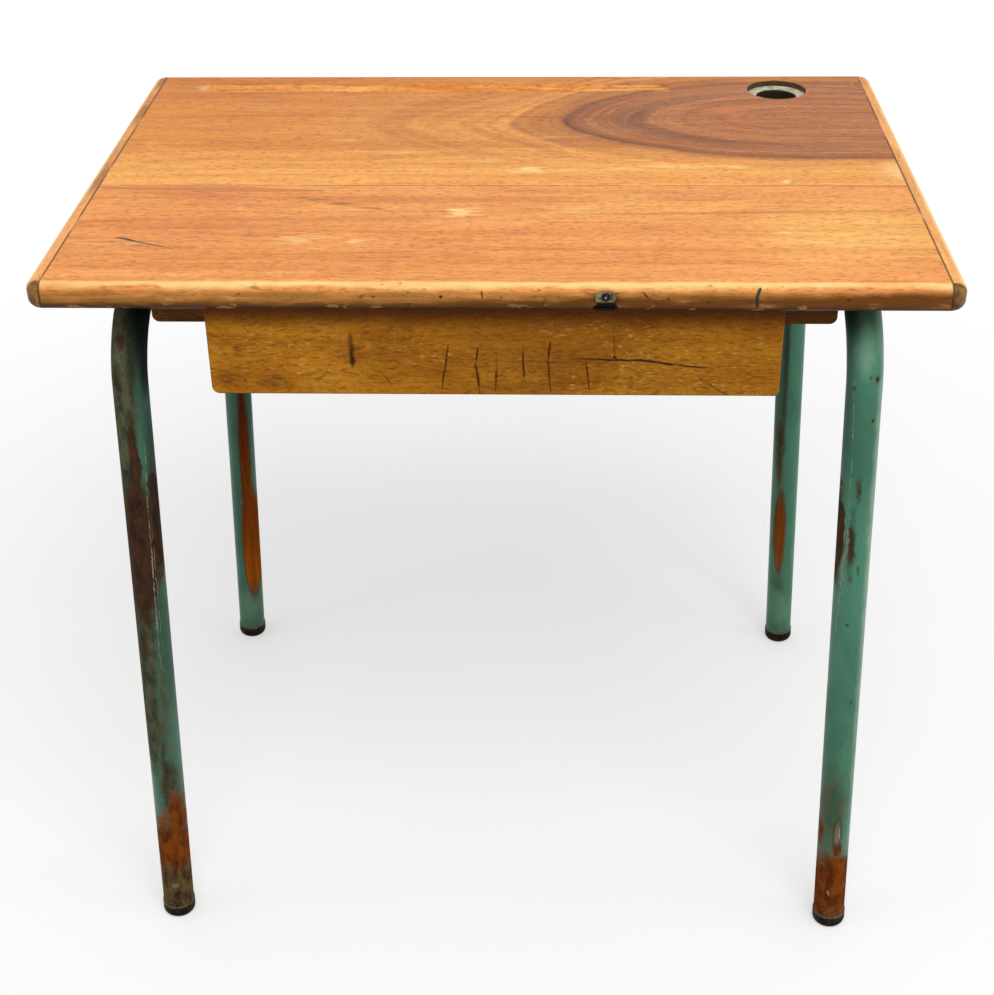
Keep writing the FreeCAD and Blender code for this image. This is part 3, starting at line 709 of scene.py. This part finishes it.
dress(old_metal("hinge_steel_dull", tint(124, 121, 114), tint(96, 58, 32), 0.55),
      "left_hinge_lid_leaf", "right_hinge_lid_leaf", "left_hinge_box_leaf", "right_hinge_box_leaf")
dress(old_metal("hinge_pin_steel", tint(168, 166, 160), tint(104, 64, 38), 0.3),
      "left_hinge_pin", "right_hinge_pin")
dress(old_metal("wood_screw_steel", tint(160, 156, 146), tint(112, 70, 40), 0.45),
      "hinge_lid_screws", "hinge_box_screws", "lid_cleat_screws")


# Leg hoops
# Two hoops of bent steel tube, brush-painted teal green long ago, that lean out a little to the floor.
# The left one has lost most of its gloss to dirt and brown wear, and rust has come through near all feet.

splay_degrees = 2
splay_slope = math.tan(math.radians(splay_degrees))
leg_radius = 14 * MM
hoop_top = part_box("left_leg_hoop")[1].z - leg_radius
leg_axis = 283.5
# Where marks find each part of a hoop: its place from front to rear once flattened, and their reach there.
front_leg = (-100, 20)
rear_leg = (100, 20)
top_run = (0, 300)


def flattened(place, side):
    """The coordinates with the lean taken out and each leg pressed flat, so that marks go through it."""
    x, y, z = coordinates(place)
    drop = product(maths("SUBTRACT", hoop_top, z), splay_slope * side)
    behind = ramped(y, -150 * MM, 150 * MM)
    leg = scaled(behind, (rear_leg[0] - front_leg[0]) * MM, front_leg[0] * MM)
    return joined(maths("SUBTRACT", x, drop), leg, z)


def make_old_paint():
    """Brushed paint that has faded in blotches, with pinholes and small chips down to brown steel."""
    inputs = [("Place", "Vector"), ("Paint", "Color"), ("Faded", "Color"), ("Chips", "Float")]
    outputs = [("Colour", "Color"), ("Height", "Float"), ("Roughness", "Float")]
    group, given, wanted = new_group("old_paint", inputs, outputs)
    blotches = ramped(cloud(given["Place"], (26, 26, 9), 4.0, 0.6), 0.35, 0.70)
    brushed = cloud(given["Place"], (420, 420, 18), 3.0)
    chipped = cloud(given["Place"], (150, 150, 90), 4.0)
    reach = maths("SUBTRACT", 0.86, product(given["Chips"], 0.25))
    chips = ramped(chipped, reach, maths("ADD", reach, 0.03))
    colour = blended(blotches, given["Paint"], given["Faded"])
    colour = toned(product(brushed, 0.30), colour, (0.62, 0.66, 0.66))
    colour = blended(chips, colour, tint(58, 42, 32))
    link(colour, wanted["Colour"])
    link(maths("SUBTRACT", product(brushed, 0.3), chips), wanted["Height"])
    rough = scaled(blotches, 0.16, 0.34)
    link(strongest(rough, product(chips, 0.75)), wanted["Roughness"])
    return group


old_paint = make_old_paint()


def tube_paint(name, side, paint, faded, chips, pale, grimy, worn, rust, earth, shade, scuffs, runs, rubbed):
    """Tube paint with its pale (bleached and partly painted highlight), grimy, worn, rusted, muddy,
    painted-shade, scuffed, run and rubbed places.

    Each place is a row in millimetres: the part of the hoop, the offset from its axis, the level, half the
    width, half the height, the edge and the strength. A scuff has the offset and level of its end instead
    of a width and height, and then its own width and strength.
    """
    material, shader, place = new_material(name)
    axis = side * leg_axis
    inputs = {"Place": place, "Paint": paint, "Faded": faded, "Chips": chips}
    colour, height, roughness = put("Group", inputs, node_tree=old_paint).outputs
    straight = flattened(place, side)
    ragged = shaken(straight, 60.0, metres((8, 0, 40)))
    mottle = cloud(place, (150, 150, 70), 5.0)
    grit = cloud(place, (560, 560, 300), 3.0)
    tone = ramped(maths("ADD", product(mottle, 0.7), product(grit, 0.3)), 0.36, 0.64)
    speckle = maths("ADD", product(maths("SUBTRACT", mottle, 0.5), 1.3),
                    product(maths("SUBTRACT", grit, 0.5), 0.8))

    def on_tube(rows):
        """Rows as soft patches on this tube."""
        return [((axis + off, leg, level), (wide, depth, tall), edge, strength)
                for (leg, depth), off, level, wide, tall, edge, strength in rows]

    def covered(rows, low=0.05, high=1.10):
        """How far a wear of the paint covers it, broken up by mottling towards its edges."""
        mask = blots(ragged, on_tube(rows))
        share = maths("ADD", product(mask, 1.25), product(speckle, 0.75))
        return product(ramped(share, low, high), ramped(mask, 0.0, 0.35))

    # Pale: lighter paint, bleached in places; on the right leg it also carries a painted sheen at the top
    # bend and a painted highlight down the outer edge.
    colour = blended(blots(ragged, on_tube(pale)), colour, tint(146, 182, 156))
    dirt = covered(grimy)
    colour = blended(dirt, colour, blended(tone, tint(56, 59, 41), tint(99, 101, 74)))
    bare = covered(worn, 0.16, 0.98)
    colour = blended(bare, colour, blended(tone, tint(44, 27, 14), tint(80, 53, 32)))
    rusty = covered(rust)
    colour = blended(rusty, colour, blended(tone, tint(88, 38, 0), tint(150, 74, 6)))
    muddy = covered(earth)
    colour = blended(muddy, colour, blended(tone, tint(50, 36, 16), tint(116, 92, 54)))
    fine = shaken(straight, 260.0, 2 * MM)
    run_colour = banded(coordinates(straight)[2], [
        (0.04, tint(118, 62, 6)), (0.08, tint(208, 110, 0)), (0.12, tint(188, 97, 0)),
        (0.17, tint(168, 82, 0)), (0.23, tint(148, 67, 0)), (0.30, tint(102, 48, 4)),
        (0.42, tint(64, 38, 18)),
    ])
    run_edge = shaken(straight, 90.0, metres((2.5, 0, 6)))
    streaming = blots(run_edge, on_tube(runs))
    run_colour = toned(product(grit, 0.5), run_colour, (0.6, 0.55, 0.5))
    fibres = ramped(cloud(place, (330, 330, 12), 4.0), 0.40, 0.62)
    run_colour = toned(product(fibres, 0.7), run_colour, (0.52, 0.44, 0.40))
    run_rim = product(ramped(streaming, 0.1, 0.5), ramped(streaming, 0.95, 0.6), 0.7)
    run_colour = blended(run_rim, run_colour, tint(36, 24, 8))
    colour = blended(streaming, colour, run_colour)
    spots = on_tube(rubbed)
    rims = [(spot[0], tuple(1.35 * value for value in spot[1]), spot[2], 0.8) for spot in spots]
    colour = blended(blots(fine, rims), colour, tint(46, 32, 18))
    colour = blended(blots(fine, spots), colour, blended(tone, tint(96, 78, 58), tint(150, 132, 108)))
    # Painted shade: dark blots on the legs' inner sides and tops under the lid, and under the cross tube.
    painted_shade = blots(straight, on_tube(shade))
    colour = blended(painted_shade, colour, tint(4, 16, 7))
    broken = ramped(cloud(place, (620, 620, 90), 4.0), 0.38, 0.56)
    lines = [((axis + off, leg[0], level), (axis + end_off, leg[0], end_level), width, strength)
             for leg, off, level, end_off, end_level, width, strength in scuffs]
    bright = product(scratches(fine, lines), broken)
    colour = blended(product(bright, 0.85), colour, tint(178, 176, 158))
    matt = strongest(dirt, bare, rusty, muddy, streaming, painted_shade)
    roughness = strongest(roughness, product(matt, 0.9))
    relief = maths("SUBTRACT", maths("ADD", height, product(rusty, grit)), bare)
    surface(shader, colour, roughness, relief, 0.25 * MM, gloss=0.2)
    return material


left_paint = tube_paint(
    "left_tube_paint", -1, tint(76, 128, 104), tint(60, 96, 76), 0.5,
    pale=[(front_leg, -9, 545, 6, 44, 0.9, 0.3), (rear_leg, 0, 45, 20, 40, 0.9, 0.4)],
    grimy=[
        (front_leg, -6, 565, 19, 130, 0.6, 1.0), (front_leg, -8, 320, 17, 150, 0.6, 1.0),
        (front_leg, -8, 245, 14, 100, 0.6, 0.95), (front_leg, 4, 150, 15, 90, 0.9, 0.95),
        (front_leg, -6, 470, 16, 80, 0.7, 1.0), (top_run, -4, 624, 20, 12, 0.8, 0.7),
        (front_leg, 6, 240, 10, 110, 1.0, 0.6),
    ],
    worn=[
        (front_leg, -1, 405, 19, 98, 0.6, 1.0), (front_leg, 1, 490, 7, 66, 0.8, 0.95),
        (front_leg, 12, 430, 7, 76, 0.6, 1.0), (front_leg, -4, 590, 7, 14, 1.0, 0.8),
        (front_leg, -8, 562, 7, 12, 1.0, 0.8), (front_leg, -7, 478, 6, 14, 1.0, 0.8),
        (front_leg, -6, 310, 9, 44, 1.0, 0.6), (front_leg, 2, 185, 7, 90, 1.0, 0.6),
    ],
    rust=[
        (front_leg, -1, 80, 40, 62, 0.95, 1.2), (front_leg, 9, 122, 13, 54, 1.0, 0.95),
    ],
    earth=[(front_leg, 0, 20, 40, 52, 0.55, 1.2), (rear_leg, 0, 14, 40, 12, 1.0, 0.35)],
    # shade: painted shade on the inner sides of the legs near the top, and darker strips along the rear leg.
    shade=[
        (front_leg, 12, 610, 20, 95, 0.8, 1.0), (front_leg, 15, 500, 8, 140, 0.9, 0.75),
        (front_leg, 14, 580, 10, 74, 0.8, 1.0), (rear_leg, -2, 240, 5, 200, 1.0, 0.12),
        (rear_leg, 14, 480, 8, 200, 0.9, 0.7), (rear_leg, -14, 420, 6, 260, 0.9, 0.25),
    ],
    scuffs=[
        (front_leg, 9.8, 515, 7.6, 450, 0.9, 0.7), (front_leg, 7.6, 470, 7.4, 400, 1.0, 0.8),
        (front_leg, 7.6, 420, 6.4, 350, 1.3, 0.9), (front_leg, 6.9, 365, 6.1, 300, 1.2, 0.9),
        (front_leg, 6.1, 318, 7.5, 258, 1.0, 0.8), (front_leg, -10, 258, -9, 243, 2.0, 0.9),
        (front_leg, -3, 118, 3, 117, 1.6, 0.8), (rear_leg, -1, 187, 0, 181, 2.0, 1.0),
        (front_leg, 9.0, 440, 8.8, 300, 0.9, 0.6),
    ],
    runs=[
        (rear_leg, 7, 132, 12.5, 92, 0.35, 1.0), (rear_leg, 5, 235, 7.4, 130, 0.45, 1.0),
        (rear_leg, 5, 390, 6, 220, 0.55, 0.95),
    ],
    rubbed=[(front_leg, 1, 40, 6, 5, 0.8, 0.9)],
)
right_paint = tube_paint(
    "right_tube_paint", 1, tint(89, 151, 123), tint(72, 125, 101), 0.4,
    # pale: on the first line the patch at the top bend is a painted sheen and the strip down the outer edge
    # a painted highlight.
    pale=[
        (front_leg, -1, 588, 9, 34, 0.9, 0.45), (front_leg, 13.5, 390, 6.5, 400, 0.8, 1.0),
        (front_leg, 10, 604, 6, 24, 0.9, 0.5), (rear_leg, 0, 45, 20, 36, 0.9, 0.35),
    ],
    grimy=[
        (front_leg, -4, 145, 24, 85, 0.9, 0.65), (rear_leg, -8, 262, 9, 80, 1.0, 0.9),
        (rear_leg, -4, 85, 12, 40, 0.9, 0.5), (top_run, 0, 624, 20, 12, 0.8, 0.6),
    ],
    worn=[
        (front_leg, -16, 420, 9, 70, 0.6, 1.0), (front_leg, -1, 474, 6, 30, 1.0, 0.6),
        (front_leg, -4, 418, 7, 60, 1.0, 0.75), (front_leg, 1, 95, 8, 9, 1.0, 1.0),
        (front_leg, 7, 565, 3, 8, 1.0, 0.8), (front_leg, -9, 560, 3, 7, 1.0, 0.8),
        (front_leg, 7, 536, 2.5, 6, 1.0, 0.8), (front_leg, 2, 566, 2, 5, 1.0, 0.7),
        (front_leg, 4, 258, 4, 10, 1.0, 0.5), (front_leg, -1, 215, 3, 9, 1.0, 0.45),
        (front_leg, -4, 345, 3, 9, 1.0, 0.5), (front_leg, 3, 395, 2, 5, 1.0, 0.6),
    ],
    rust=[
        (front_leg, 0, 42, 40, 74, 0.7, 1.15), (front_leg, -13, 112, 6, 40, 1.0, 0.8),
    ],
    earth=[(front_leg, 0, 14, 40, 10, 1.0, 0.5), (rear_leg, 0, 14, 40, 10, 1.0, 0.35)],
    # shade: painted shade on the inner side and top of the front leg and on the inner side of the rear leg;
    # the last row darkens the rear rust run.
    shade=[
        (front_leg, -13, 618, 15, 40, 0.9, 0.9), (front_leg, -15, 520, 7, 140, 0.9, 0.55),
        (front_leg, 0, 630, 24, 16, 0.9, 0.7), (rear_leg, -12, 430, 11, 240, 0.9, 0.55),
        (rear_leg, -5, 150, 12, 76, 0.9, 0.2),
    ],
    scuffs=[
        (front_leg, -10, 570, -7.4, 500, 1.0, 0.8), (front_leg, -7.4, 515, -7.7, 400, 1.1, 0.9),
        (front_leg, -9.2, 455, -10.4, 345, 1.1, 0.9), (front_leg, -6.4, 450, -6.8, 370, 0.9, 0.8),
        (front_leg, -8.0, 430, -9.0, 350, 1.1, 0.9), (front_leg, -10.6, 372, -11.6, 322, 1.0, 0.7),
        # The first stroke on the next line is a painted glint on the rubbed bare patch.
        (front_leg, 2.5, 122, 2, 104, 2.4, 1.0), (front_leg, 8, 442, 8, 426, 1.6, 0.8),
        (front_leg, -5, 47, -3, 40, 3, 0.9), (front_leg, 10, 250, 9, 205, 1.4, 0.6),
    ],
    runs=[
        (rear_leg, -4.8, 150, 8, 68, 0.4, 0.95), (rear_leg, -5.5, 360, 5, 160, 0.9, 0.8),
        (rear_leg, -8, 225, 5, 50, 0.9, 0.6),
    ],
    rubbed=[(front_leg, 1, 113, 4.5, 19, 0.6, 1.0)],
)
dress(left_paint, "left_leg_hoop")
dress(right_paint, "right_leg_hoop")


# Rear cross tube and its welds
# A thinner tube between the rear legs that stiffens the frame, painted with it after welding.
# A rippled bead of weld runs round each end, where the tube butts against the leg.

cross_paint = tube_paint(
    "cross_tube_paint", 0, tint(88, 142, 116), tint(72, 120, 98), 0.6,
    pale=[(rear_leg, 60, 518, 90, 8, 0.9, 0.4)],
    grimy=[(rear_leg, -40, 521, 240, 9, 0.9, 0.8)],
    worn=[(rear_leg, -120, 511, 40, 7, 0.8, 0.7), (rear_leg, 140, 508, 30, 6, 0.8, 0.7)],
    rust=[(rear_leg, -274, 508, 14, 18, 0.8, 0.8), (rear_leg, 274, 508, 14, 18, 0.8, 0.8)],
    earth=[(rear_leg, 20, 499, 260, 6, 0.9, 0.5)],
    # shade: painted shade along the underside of the tube.
    shade=[(rear_leg, 0, 496, 300, 8, 0.9, 0.4)],
    scuffs=[(rear_leg, 40, 515, 90, 512, 2, 0.9), (rear_leg, -60, 514, -20, 516, 2, 0.9)],
    runs=[(rear_leg, -262, 500, 7, 10, 0.5, 0.8)],
    rubbed=[(rear_leg, 190, 516, 9, 4, 0.6, 0.8)],
)
dress(cross_paint, "rear_cross_tube")

cross_low, cross_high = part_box("rear_cross_tube")
cross_radius = (cross_high.z - cross_low.z) / 2
cross_middle = (cross_low + cross_high) / 2
bead_radius = 2.2 * MM
bead_ripples = 22


def weld_bead(name, side):
    """A ring of weld round a tube end, bent to the leg it sits on and rippled by the torch."""
    bpy.ops.object.select_all(action="DESELECT")
    leg_x = (leg_axis * MM + (hoop_top - cross_middle.z) * splay_slope) * side
    bpy.ops.mesh.primitive_torus_add(
        location=(leg_x, cross_middle.y, cross_middle.z), rotation=(0, math.radians(90), 0),
        major_radius=cross_radius + bead_radius * 0.3, minor_radius=bead_radius,
        major_segments=132, minor_segments=14)
    bead = bpy.context.object
    bead.name = name
    bpy.ops.object.transform_apply(location=True, rotation=True, scale=True)
    for vertex in bead.data.vertices:
        around = math.atan2(vertex.co.z - cross_middle.z, vertex.co.y - cross_middle.y)
        back = math.sqrt(max(leg_radius ** 2 - (vertex.co.y - cross_middle.y) ** 2, 0.0))
        swell = 1 + 0.22 * math.sin(bead_ripples * around) + 0.12 * math.sin(5 * around + side)
        vertex.co.x = leg_x - side * back + (vertex.co.x - leg_x) * swell
    bpy.ops.object.shade_smooth()
    bead.data.materials.append(cross_paint)
    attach(bead, "frame")


weld_bead("left_weld_bead", -1)
weld_bead("right_weld_bead", 1)


# Feet
# Four black rubber plugs pushed into the tube ends, domed at the floor and scuffed grey by it.
# Dust has settled along the seam between plug and tube.

def foot_rubber():
    material, shader, place = new_material("foot_rubber_scuffed")
    z = coordinates(shaken(place, 160.0, 3 * MM))[2]
    grain = cloud(place, (700, 700, 700), 3.0)
    colour = blended(grain, tint(8, 7, 6), tint(20, 18, 15))
    dust = product(ramped(cloud(place, (120, 120, 120), 4.0), 0.45, 0.75), 0.2)
    seam = ramped(z, 11.0 * MM, 13.0 * MM)
    colour = blended(strongest(dust, product(seam, 0.8)), colour, tint(126, 112, 88))
    scuffed = product(ramped(z, 3 * MM, 0.5 * MM), 0.3)
    colour = blended(scuffed, colour, tint(70, 62, 52))
    roughness = scaled(dust, 0.6, 0.55)
    surface(shader, colour, roughness, grain, 0.12 * MM, gloss=0.08)
    return material


dress(foot_rubber(), "front_left_foot", "front_right_foot", "rear_left_foot", "rear_right_foot")


# Front panel
# A golden, varnished hardwood board that closes the box on the pupil's side, nailed to the box sides.
# It is full of short pale flecks, and knees and chairs have scratched and stained it.

panel_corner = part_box("front_panel")[0]
face = panel_corner.y / MM


def panel_wood():
    material, shader, place = new_material("panel_golden_wood")
    tone = cloud(place, (7, 20, 26), 4.0, 0.8)
    base = blended(ramped(tone, 0.35, 0.68), tint(207, 140, 36), tint(174, 109, 23))
    to_right = ramped(coordinates(place)[0], panel_corner.x, 80 * MM)
    base = blended(1.0, base, blended(to_right, (1.14, 1.10, 1.0, 1), (0.87, 0.83, 0.77, 1)), "MULTIPLY")
    colour, height = grained(place, base, 0.6, 0.5)
    curls = cloud(place, (95, 200, 240), 3.0, 1.6)
    curl_lines = ramped(maths("ABSOLUTE", maths("SUBTRACT", curls, 0.5)), 0.030, 0.0)
    where = ramped(cloud(place, (16, 20, 26), 3.0), 0.42, 0.62)
    colour = blended(product(curl_lines, where, 0.4), colour, tint(232, 182, 88))
    dashes = ramped(cloud(shaken(place, 90.0, 8 * MM), (190, 190, 560), 4.0), 0.55, 0.70)
    patches = ramped(cloud(place, (14, 14, 34), 4.0), 0.38, 0.60)
    colour = blended(product(dashes, patches, 0.6), colour, tint(236, 182, 84))
    shade = ramped(cloud(shaken(place, 90.0, 8 * MM), (110, 110, 400), 5.0), 0.52, 0.66)
    colour = blended(product(shade, 0.45), colour, tint(108, 62, 12))
    stains = blots(shaken(place, 60.0, 12 * MM), [
        ((-204, face, 566), (18, 10, 11), 1.0, 0.6), ((-168, face, 562), (20, 10, 10), 1.0, 0.6),
        ((-197, face, 592), (6, 8, 3), 0.9, 0.9), ((-192, face, 566), (3, 8, 3), 0.8, 1.0),
        ((40, face, 582), (70, 10, 14), 1.0, 0.3), ((-95, face, 590), (50, 10, 24), 1.0, 0.35),
    ])
    colour = blended(product(stains, ramped(curls, 0.25, 0.6)), colour, tint(76, 46, 16))
    stain = blots(shaken(place, 150.0, 2 * MM), [
        ((-108.4, face, 600), (3.2, 8, 8), 0.8, 0.65), ((-108.2, face, 591), (3.4, 8, 12), 0.7, 0.75),
        ((-107.8, face, 582), (2.8, 8, 8), 0.7, 0.95), ((-108.6, face, 587), (1.5, 8, 9), 0.6, 0.95),
    ])
    colour = blended(stain, colour, tint(40, 22, 2))
    # Painted shadow: the top of the panel, under the overhanging lid, is darkened.
    painted_lid_shadow = ramped(coordinates(shaken(place, 40.0, 8 * MM))[2], 604 * MM, 622 * MM)
    colour = blended(product(painted_lid_shadow, 0.8), colour, tint(98, 40, 0))
    # Painted shade: black on the panel face behind the notch in the nose.
    shadow_behind_notch = blots(place, [((catch_x, face, 629), (8.2, 12, 20), 0.1, 1.0)])
    shadow_behind_notch = product(shadow_behind_notch, ramped(coordinates(place)[2], 624.2 * MM, 625 * MM))
    colour = blended(shadow_behind_notch, colour, tint(10, 9, 8))
    cuts = [
        ((-34, face, 596), (-41, face, 551), 1.5, 0.85), ((-12, face, 594), (-14, face, 576), 1.7, 0.9),
        ((-15, face, 584), (-10, face, 553), 2.2, 0.9), ((3, face, 592), (1, face, 556), 2.0, 0.8),
        ((23, face, 593), (23, face, 562), 2.0, 0.85), ((43, face, 599), (41, face, 580), 2.2, 0.85),
        ((41, face, 588), (44, face, 556), 1.7, 0.75), ((71, face, 582), (73, face, 558), 1.8, 0.8),
        ((91, face, 612), (91, face, 585), 1.2, 0.55), ((-121, face, 586), (-136, face, 562), 1.0, 0.35),
        ((-86, face, 571), (-75, face, 557), 1.2, 0.55), ((62, face, 584), (120, face, 583), 1.9, 1.0),
        ((92, face, 584.5), (163, face, 577), 2.3, 1.0), ((160, face, 566), (184, face, 551), 1.2, 0.6),
        ((46, face, 584), (66, face, 583), 1.2, 0.55), ((90, face, 587), (93, face, 585), 3.4, 0.9),
    ]
    fine = shaken(place, 45.0, 4 * MM)
    broken = ramped(cloud(place, (200, 200, 200), 3.0), 0.22, 0.40)
    bruised = [(start, end, width + 1.6, strength * 0.35) for start, end, width, strength in cuts]
    colour = blended(scratches(fine, bruised), colour, tint(118, 54, 8))
    gouges = product(scratches(fine, cuts), broken)
    colour = blended(gouges, colour, tint(58, 24, 4))
    hollow = maths("SUBTRACT", height, product(gouges, 2.0))
    roughness = scaled(shade, 0.2, 0.45)
    surface(shader, colour, roughness, hollow, 0.3 * MM, gloss=0.12)
    return material


golden_wood = panel_wood()
dress(golden_wood, "front_panel")


# Box: sides, back and bottom
# Plain boards of the same golden wood, left rougher inside, with a thin plywood bottom nailed on.
# The plywood shows its three veneers along its edges.

dress(timber("box_side_wood", tint(200, 142, 66), tint(120, 80, 36), 0.6, 0.35, 0.5, crosswise=True),
      "left_side_board", "right_side_board")
dress(timber("box_back_wood", tint(196, 136, 58), tint(112, 74, 34), 0.6, 0.35, 0.5), "back_panel")


def plywood():
    material, shader, place = new_material("bottom_plywood")
    low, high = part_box("bottom_board")
    veneer = (high.z - low.z) / 3
    colour, height = grained(place, tint(206, 164, 108), 0.5, 0.3)
    core = grained(across_grain(place), tint(168, 122, 74), 0.6, 0.5)[0]
    middle = (low.z + high.z) / 2
    from_middle = maths("ABSOLUTE", maths("SUBTRACT", coordinates(place)[2], middle))
    colour = blended(ramped(from_middle, veneer * 0.55, veneer * 0.45), colour, core)
    mask = soiled(place, 0.55)
    colour = blended(mask, colour, tint(112, 82, 52))
    roughness = scaled(mask, 0.2, 0.6)
    surface(shader, colour, roughness, height, 0.3 * MM)
    return material


dress(plywood(), "bottom_board")


# Nails of the box
# Cut wire nails, driven flush. Those of the back and bottom have gone brown with rust.
# Those of the front panel were stopped with filler and varnished over with the panel.

dress(old_metal("nail_steel_rusty", tint(110, 100, 90), tint(78, 46, 26), 0.9),
      "back_panel_nails", "bottom_nails")
dress(golden_wood, "front_panel_nails")


# Hanger blocks
# Four dark-stained softwood blocks that fill the space between the box sides and the tube hoops.
# They are rough sawn, with the grain running from the box to the tube.

dress(timber("hanger_block_wood", tint(138, 84, 24), tint(62, 38, 10), 1.0, 0.7, 0.6),
      "front_right_hanger_block", "rear_left_hanger_block", "rear_right_hanger_block")
dress(timber("weathered_block_wood", tint(168, 112, 48), tint(84, 54, 24), 1.0, 0.9, 0.5),
      "front_left_hanger_block")


# Hanger bolts, washers and nuts
# One coach bolt through each tube, block and box side, with a washer and a nut inside the box.
# They are of plain steel, which has dulled and started to rust.

dress(old_metal("bolt_steel_dull", tint(150, 148, 144), tint(108, 66, 38), 0.5),
      "hanger_bolts", "hanger_washers", "hanger_nuts")


# Floor and light
# A plain pale floor that fades into a white background, under one broad soft light from above.
# Weaker soft lights stand at both sides, as open sky on either hand would light the legs.

def white_to_the_eye(tree):
    """1 for rays that show the background itself, directly, in a reflection or through glass."""
    rays = tree.nodes.new("ShaderNodeLightPath").outputs
    return strongest(rays["Is Camera Ray"], rays["Is Glossy Ray"], rays["Is Transmission Ray"])


bpy.ops.object.select_all(action="DESELECT")
bpy.ops.mesh.primitive_plane_add(size=16, location=(0, 0, 0))
floor = bpy.context.object
floor.name = "studio_floor"
floor_material, floor_shader, floor_place = new_material("pale_floor")
floor_seen = white_to_the_eye(floor_material.node_tree)
floor_tone = cloud(floor_place, (1.5, 1.5, 1.5))
floor_colour = blended(floor_tone, tint(204, 204, 204), tint(198, 198, 198))
floor_far = ramped(measured("LENGTH", floor_place), 0.5, 2.5)
floor_glow = scaled(floor_far, 0.22, 0.44)
link(blended(floor_seen, tint(128, 126, 120), floor_colour), floor_shader.inputs["Base Color"])
floor_shader.inputs["Roughness"].default_value = 0.9
floor_shader.inputs["Specular IOR Level"].default_value = 0.0
link(product(floor_seen, floor_glow), floor_shader.inputs["Emission Color"])
floor_shader.inputs["Emission Strength"].default_value = 1.0
floor.data.materials.append(floor_material)

world = bpy.data.worlds.new("soft_sky")
bpy.context.scene.world = world
world.use_nodes = True
sky_seen = white_to_the_eye(world.node_tree)
sky = world.node_tree.nodes["Background"]
sky.inputs["Color"].default_value = (1, 1, 1, 1)
direction = world.node_tree.nodes.new("ShaderNodeTexCoord").outputs["Generated"]
height_in_sky = maths("MAXIMUM", coordinates(direction)[2], 0.0)
overcast = scaled(height_in_sky, 0.53, 0.22)
sky_level = put("Mix", {0: sky_seen, 2: overcast, 3: 1.0}).outputs[0]
link(sky_level, sky.inputs["Strength"])


def soft_light(name, place, aim, size, power):
    lamp = bpy.data.lights.new(name, "AREA")
    lamp.shape = "DISK"
    lamp.size = size
    lamp.energy = power
    stand = bpy.data.objects.new(name, lamp)
    bpy.context.scene.collection.objects.link(stand)
    stand.location = place
    stand.rotation_euler = (Vector(aim) - Vector(place)).to_track_quat("-Z", "Y").to_euler()


soft_light("overhead_light", (0.5, -1.9, 3.3), (0, 0, 0.6), 2.2, 56)
soft_light("left_light", (-3.0, -1.0, 1.4), (0, 0, 0.4), 1.8, 10)
soft_light("right_light", (3.0, -1.0, 1.4), (0, 0, 0.4), 1.8, 14)


# Camera
# It stands in front of the desk, a little to the right, and looks down on it as the photograph does.
# Its place, its turn and its lens come from fitting the outline of the desk.

camera_place = metres((49.624, -1414.989, 1177.281))
look_right = Vector((0.99935754, 0.03373379, -0.01210567))
look_up = Vector((-0.00720476, 0.51996216, 0.85415891))
look_back = Vector((0.03510851, -0.85352292, 0.51987115))
focal_pixels = 1726.13
picture_height = 995
lens = bpy.data.cameras.new("photo_camera")
lens.sensor_width = 36
lens.lens = focal_pixels / picture_height * lens.sensor_width
camera = bpy.data.objects.new("photo_camera", lens)
bpy.context.scene.collection.objects.link(camera)
turn = Matrix((look_right, look_up, look_back)).transposed().to_4x4()
camera.matrix_world = Matrix.Translation(camera_place) @ turn
bpy.context.scene.camera = camera
bpy.context.scene.view_settings.view_transform = "Standard"
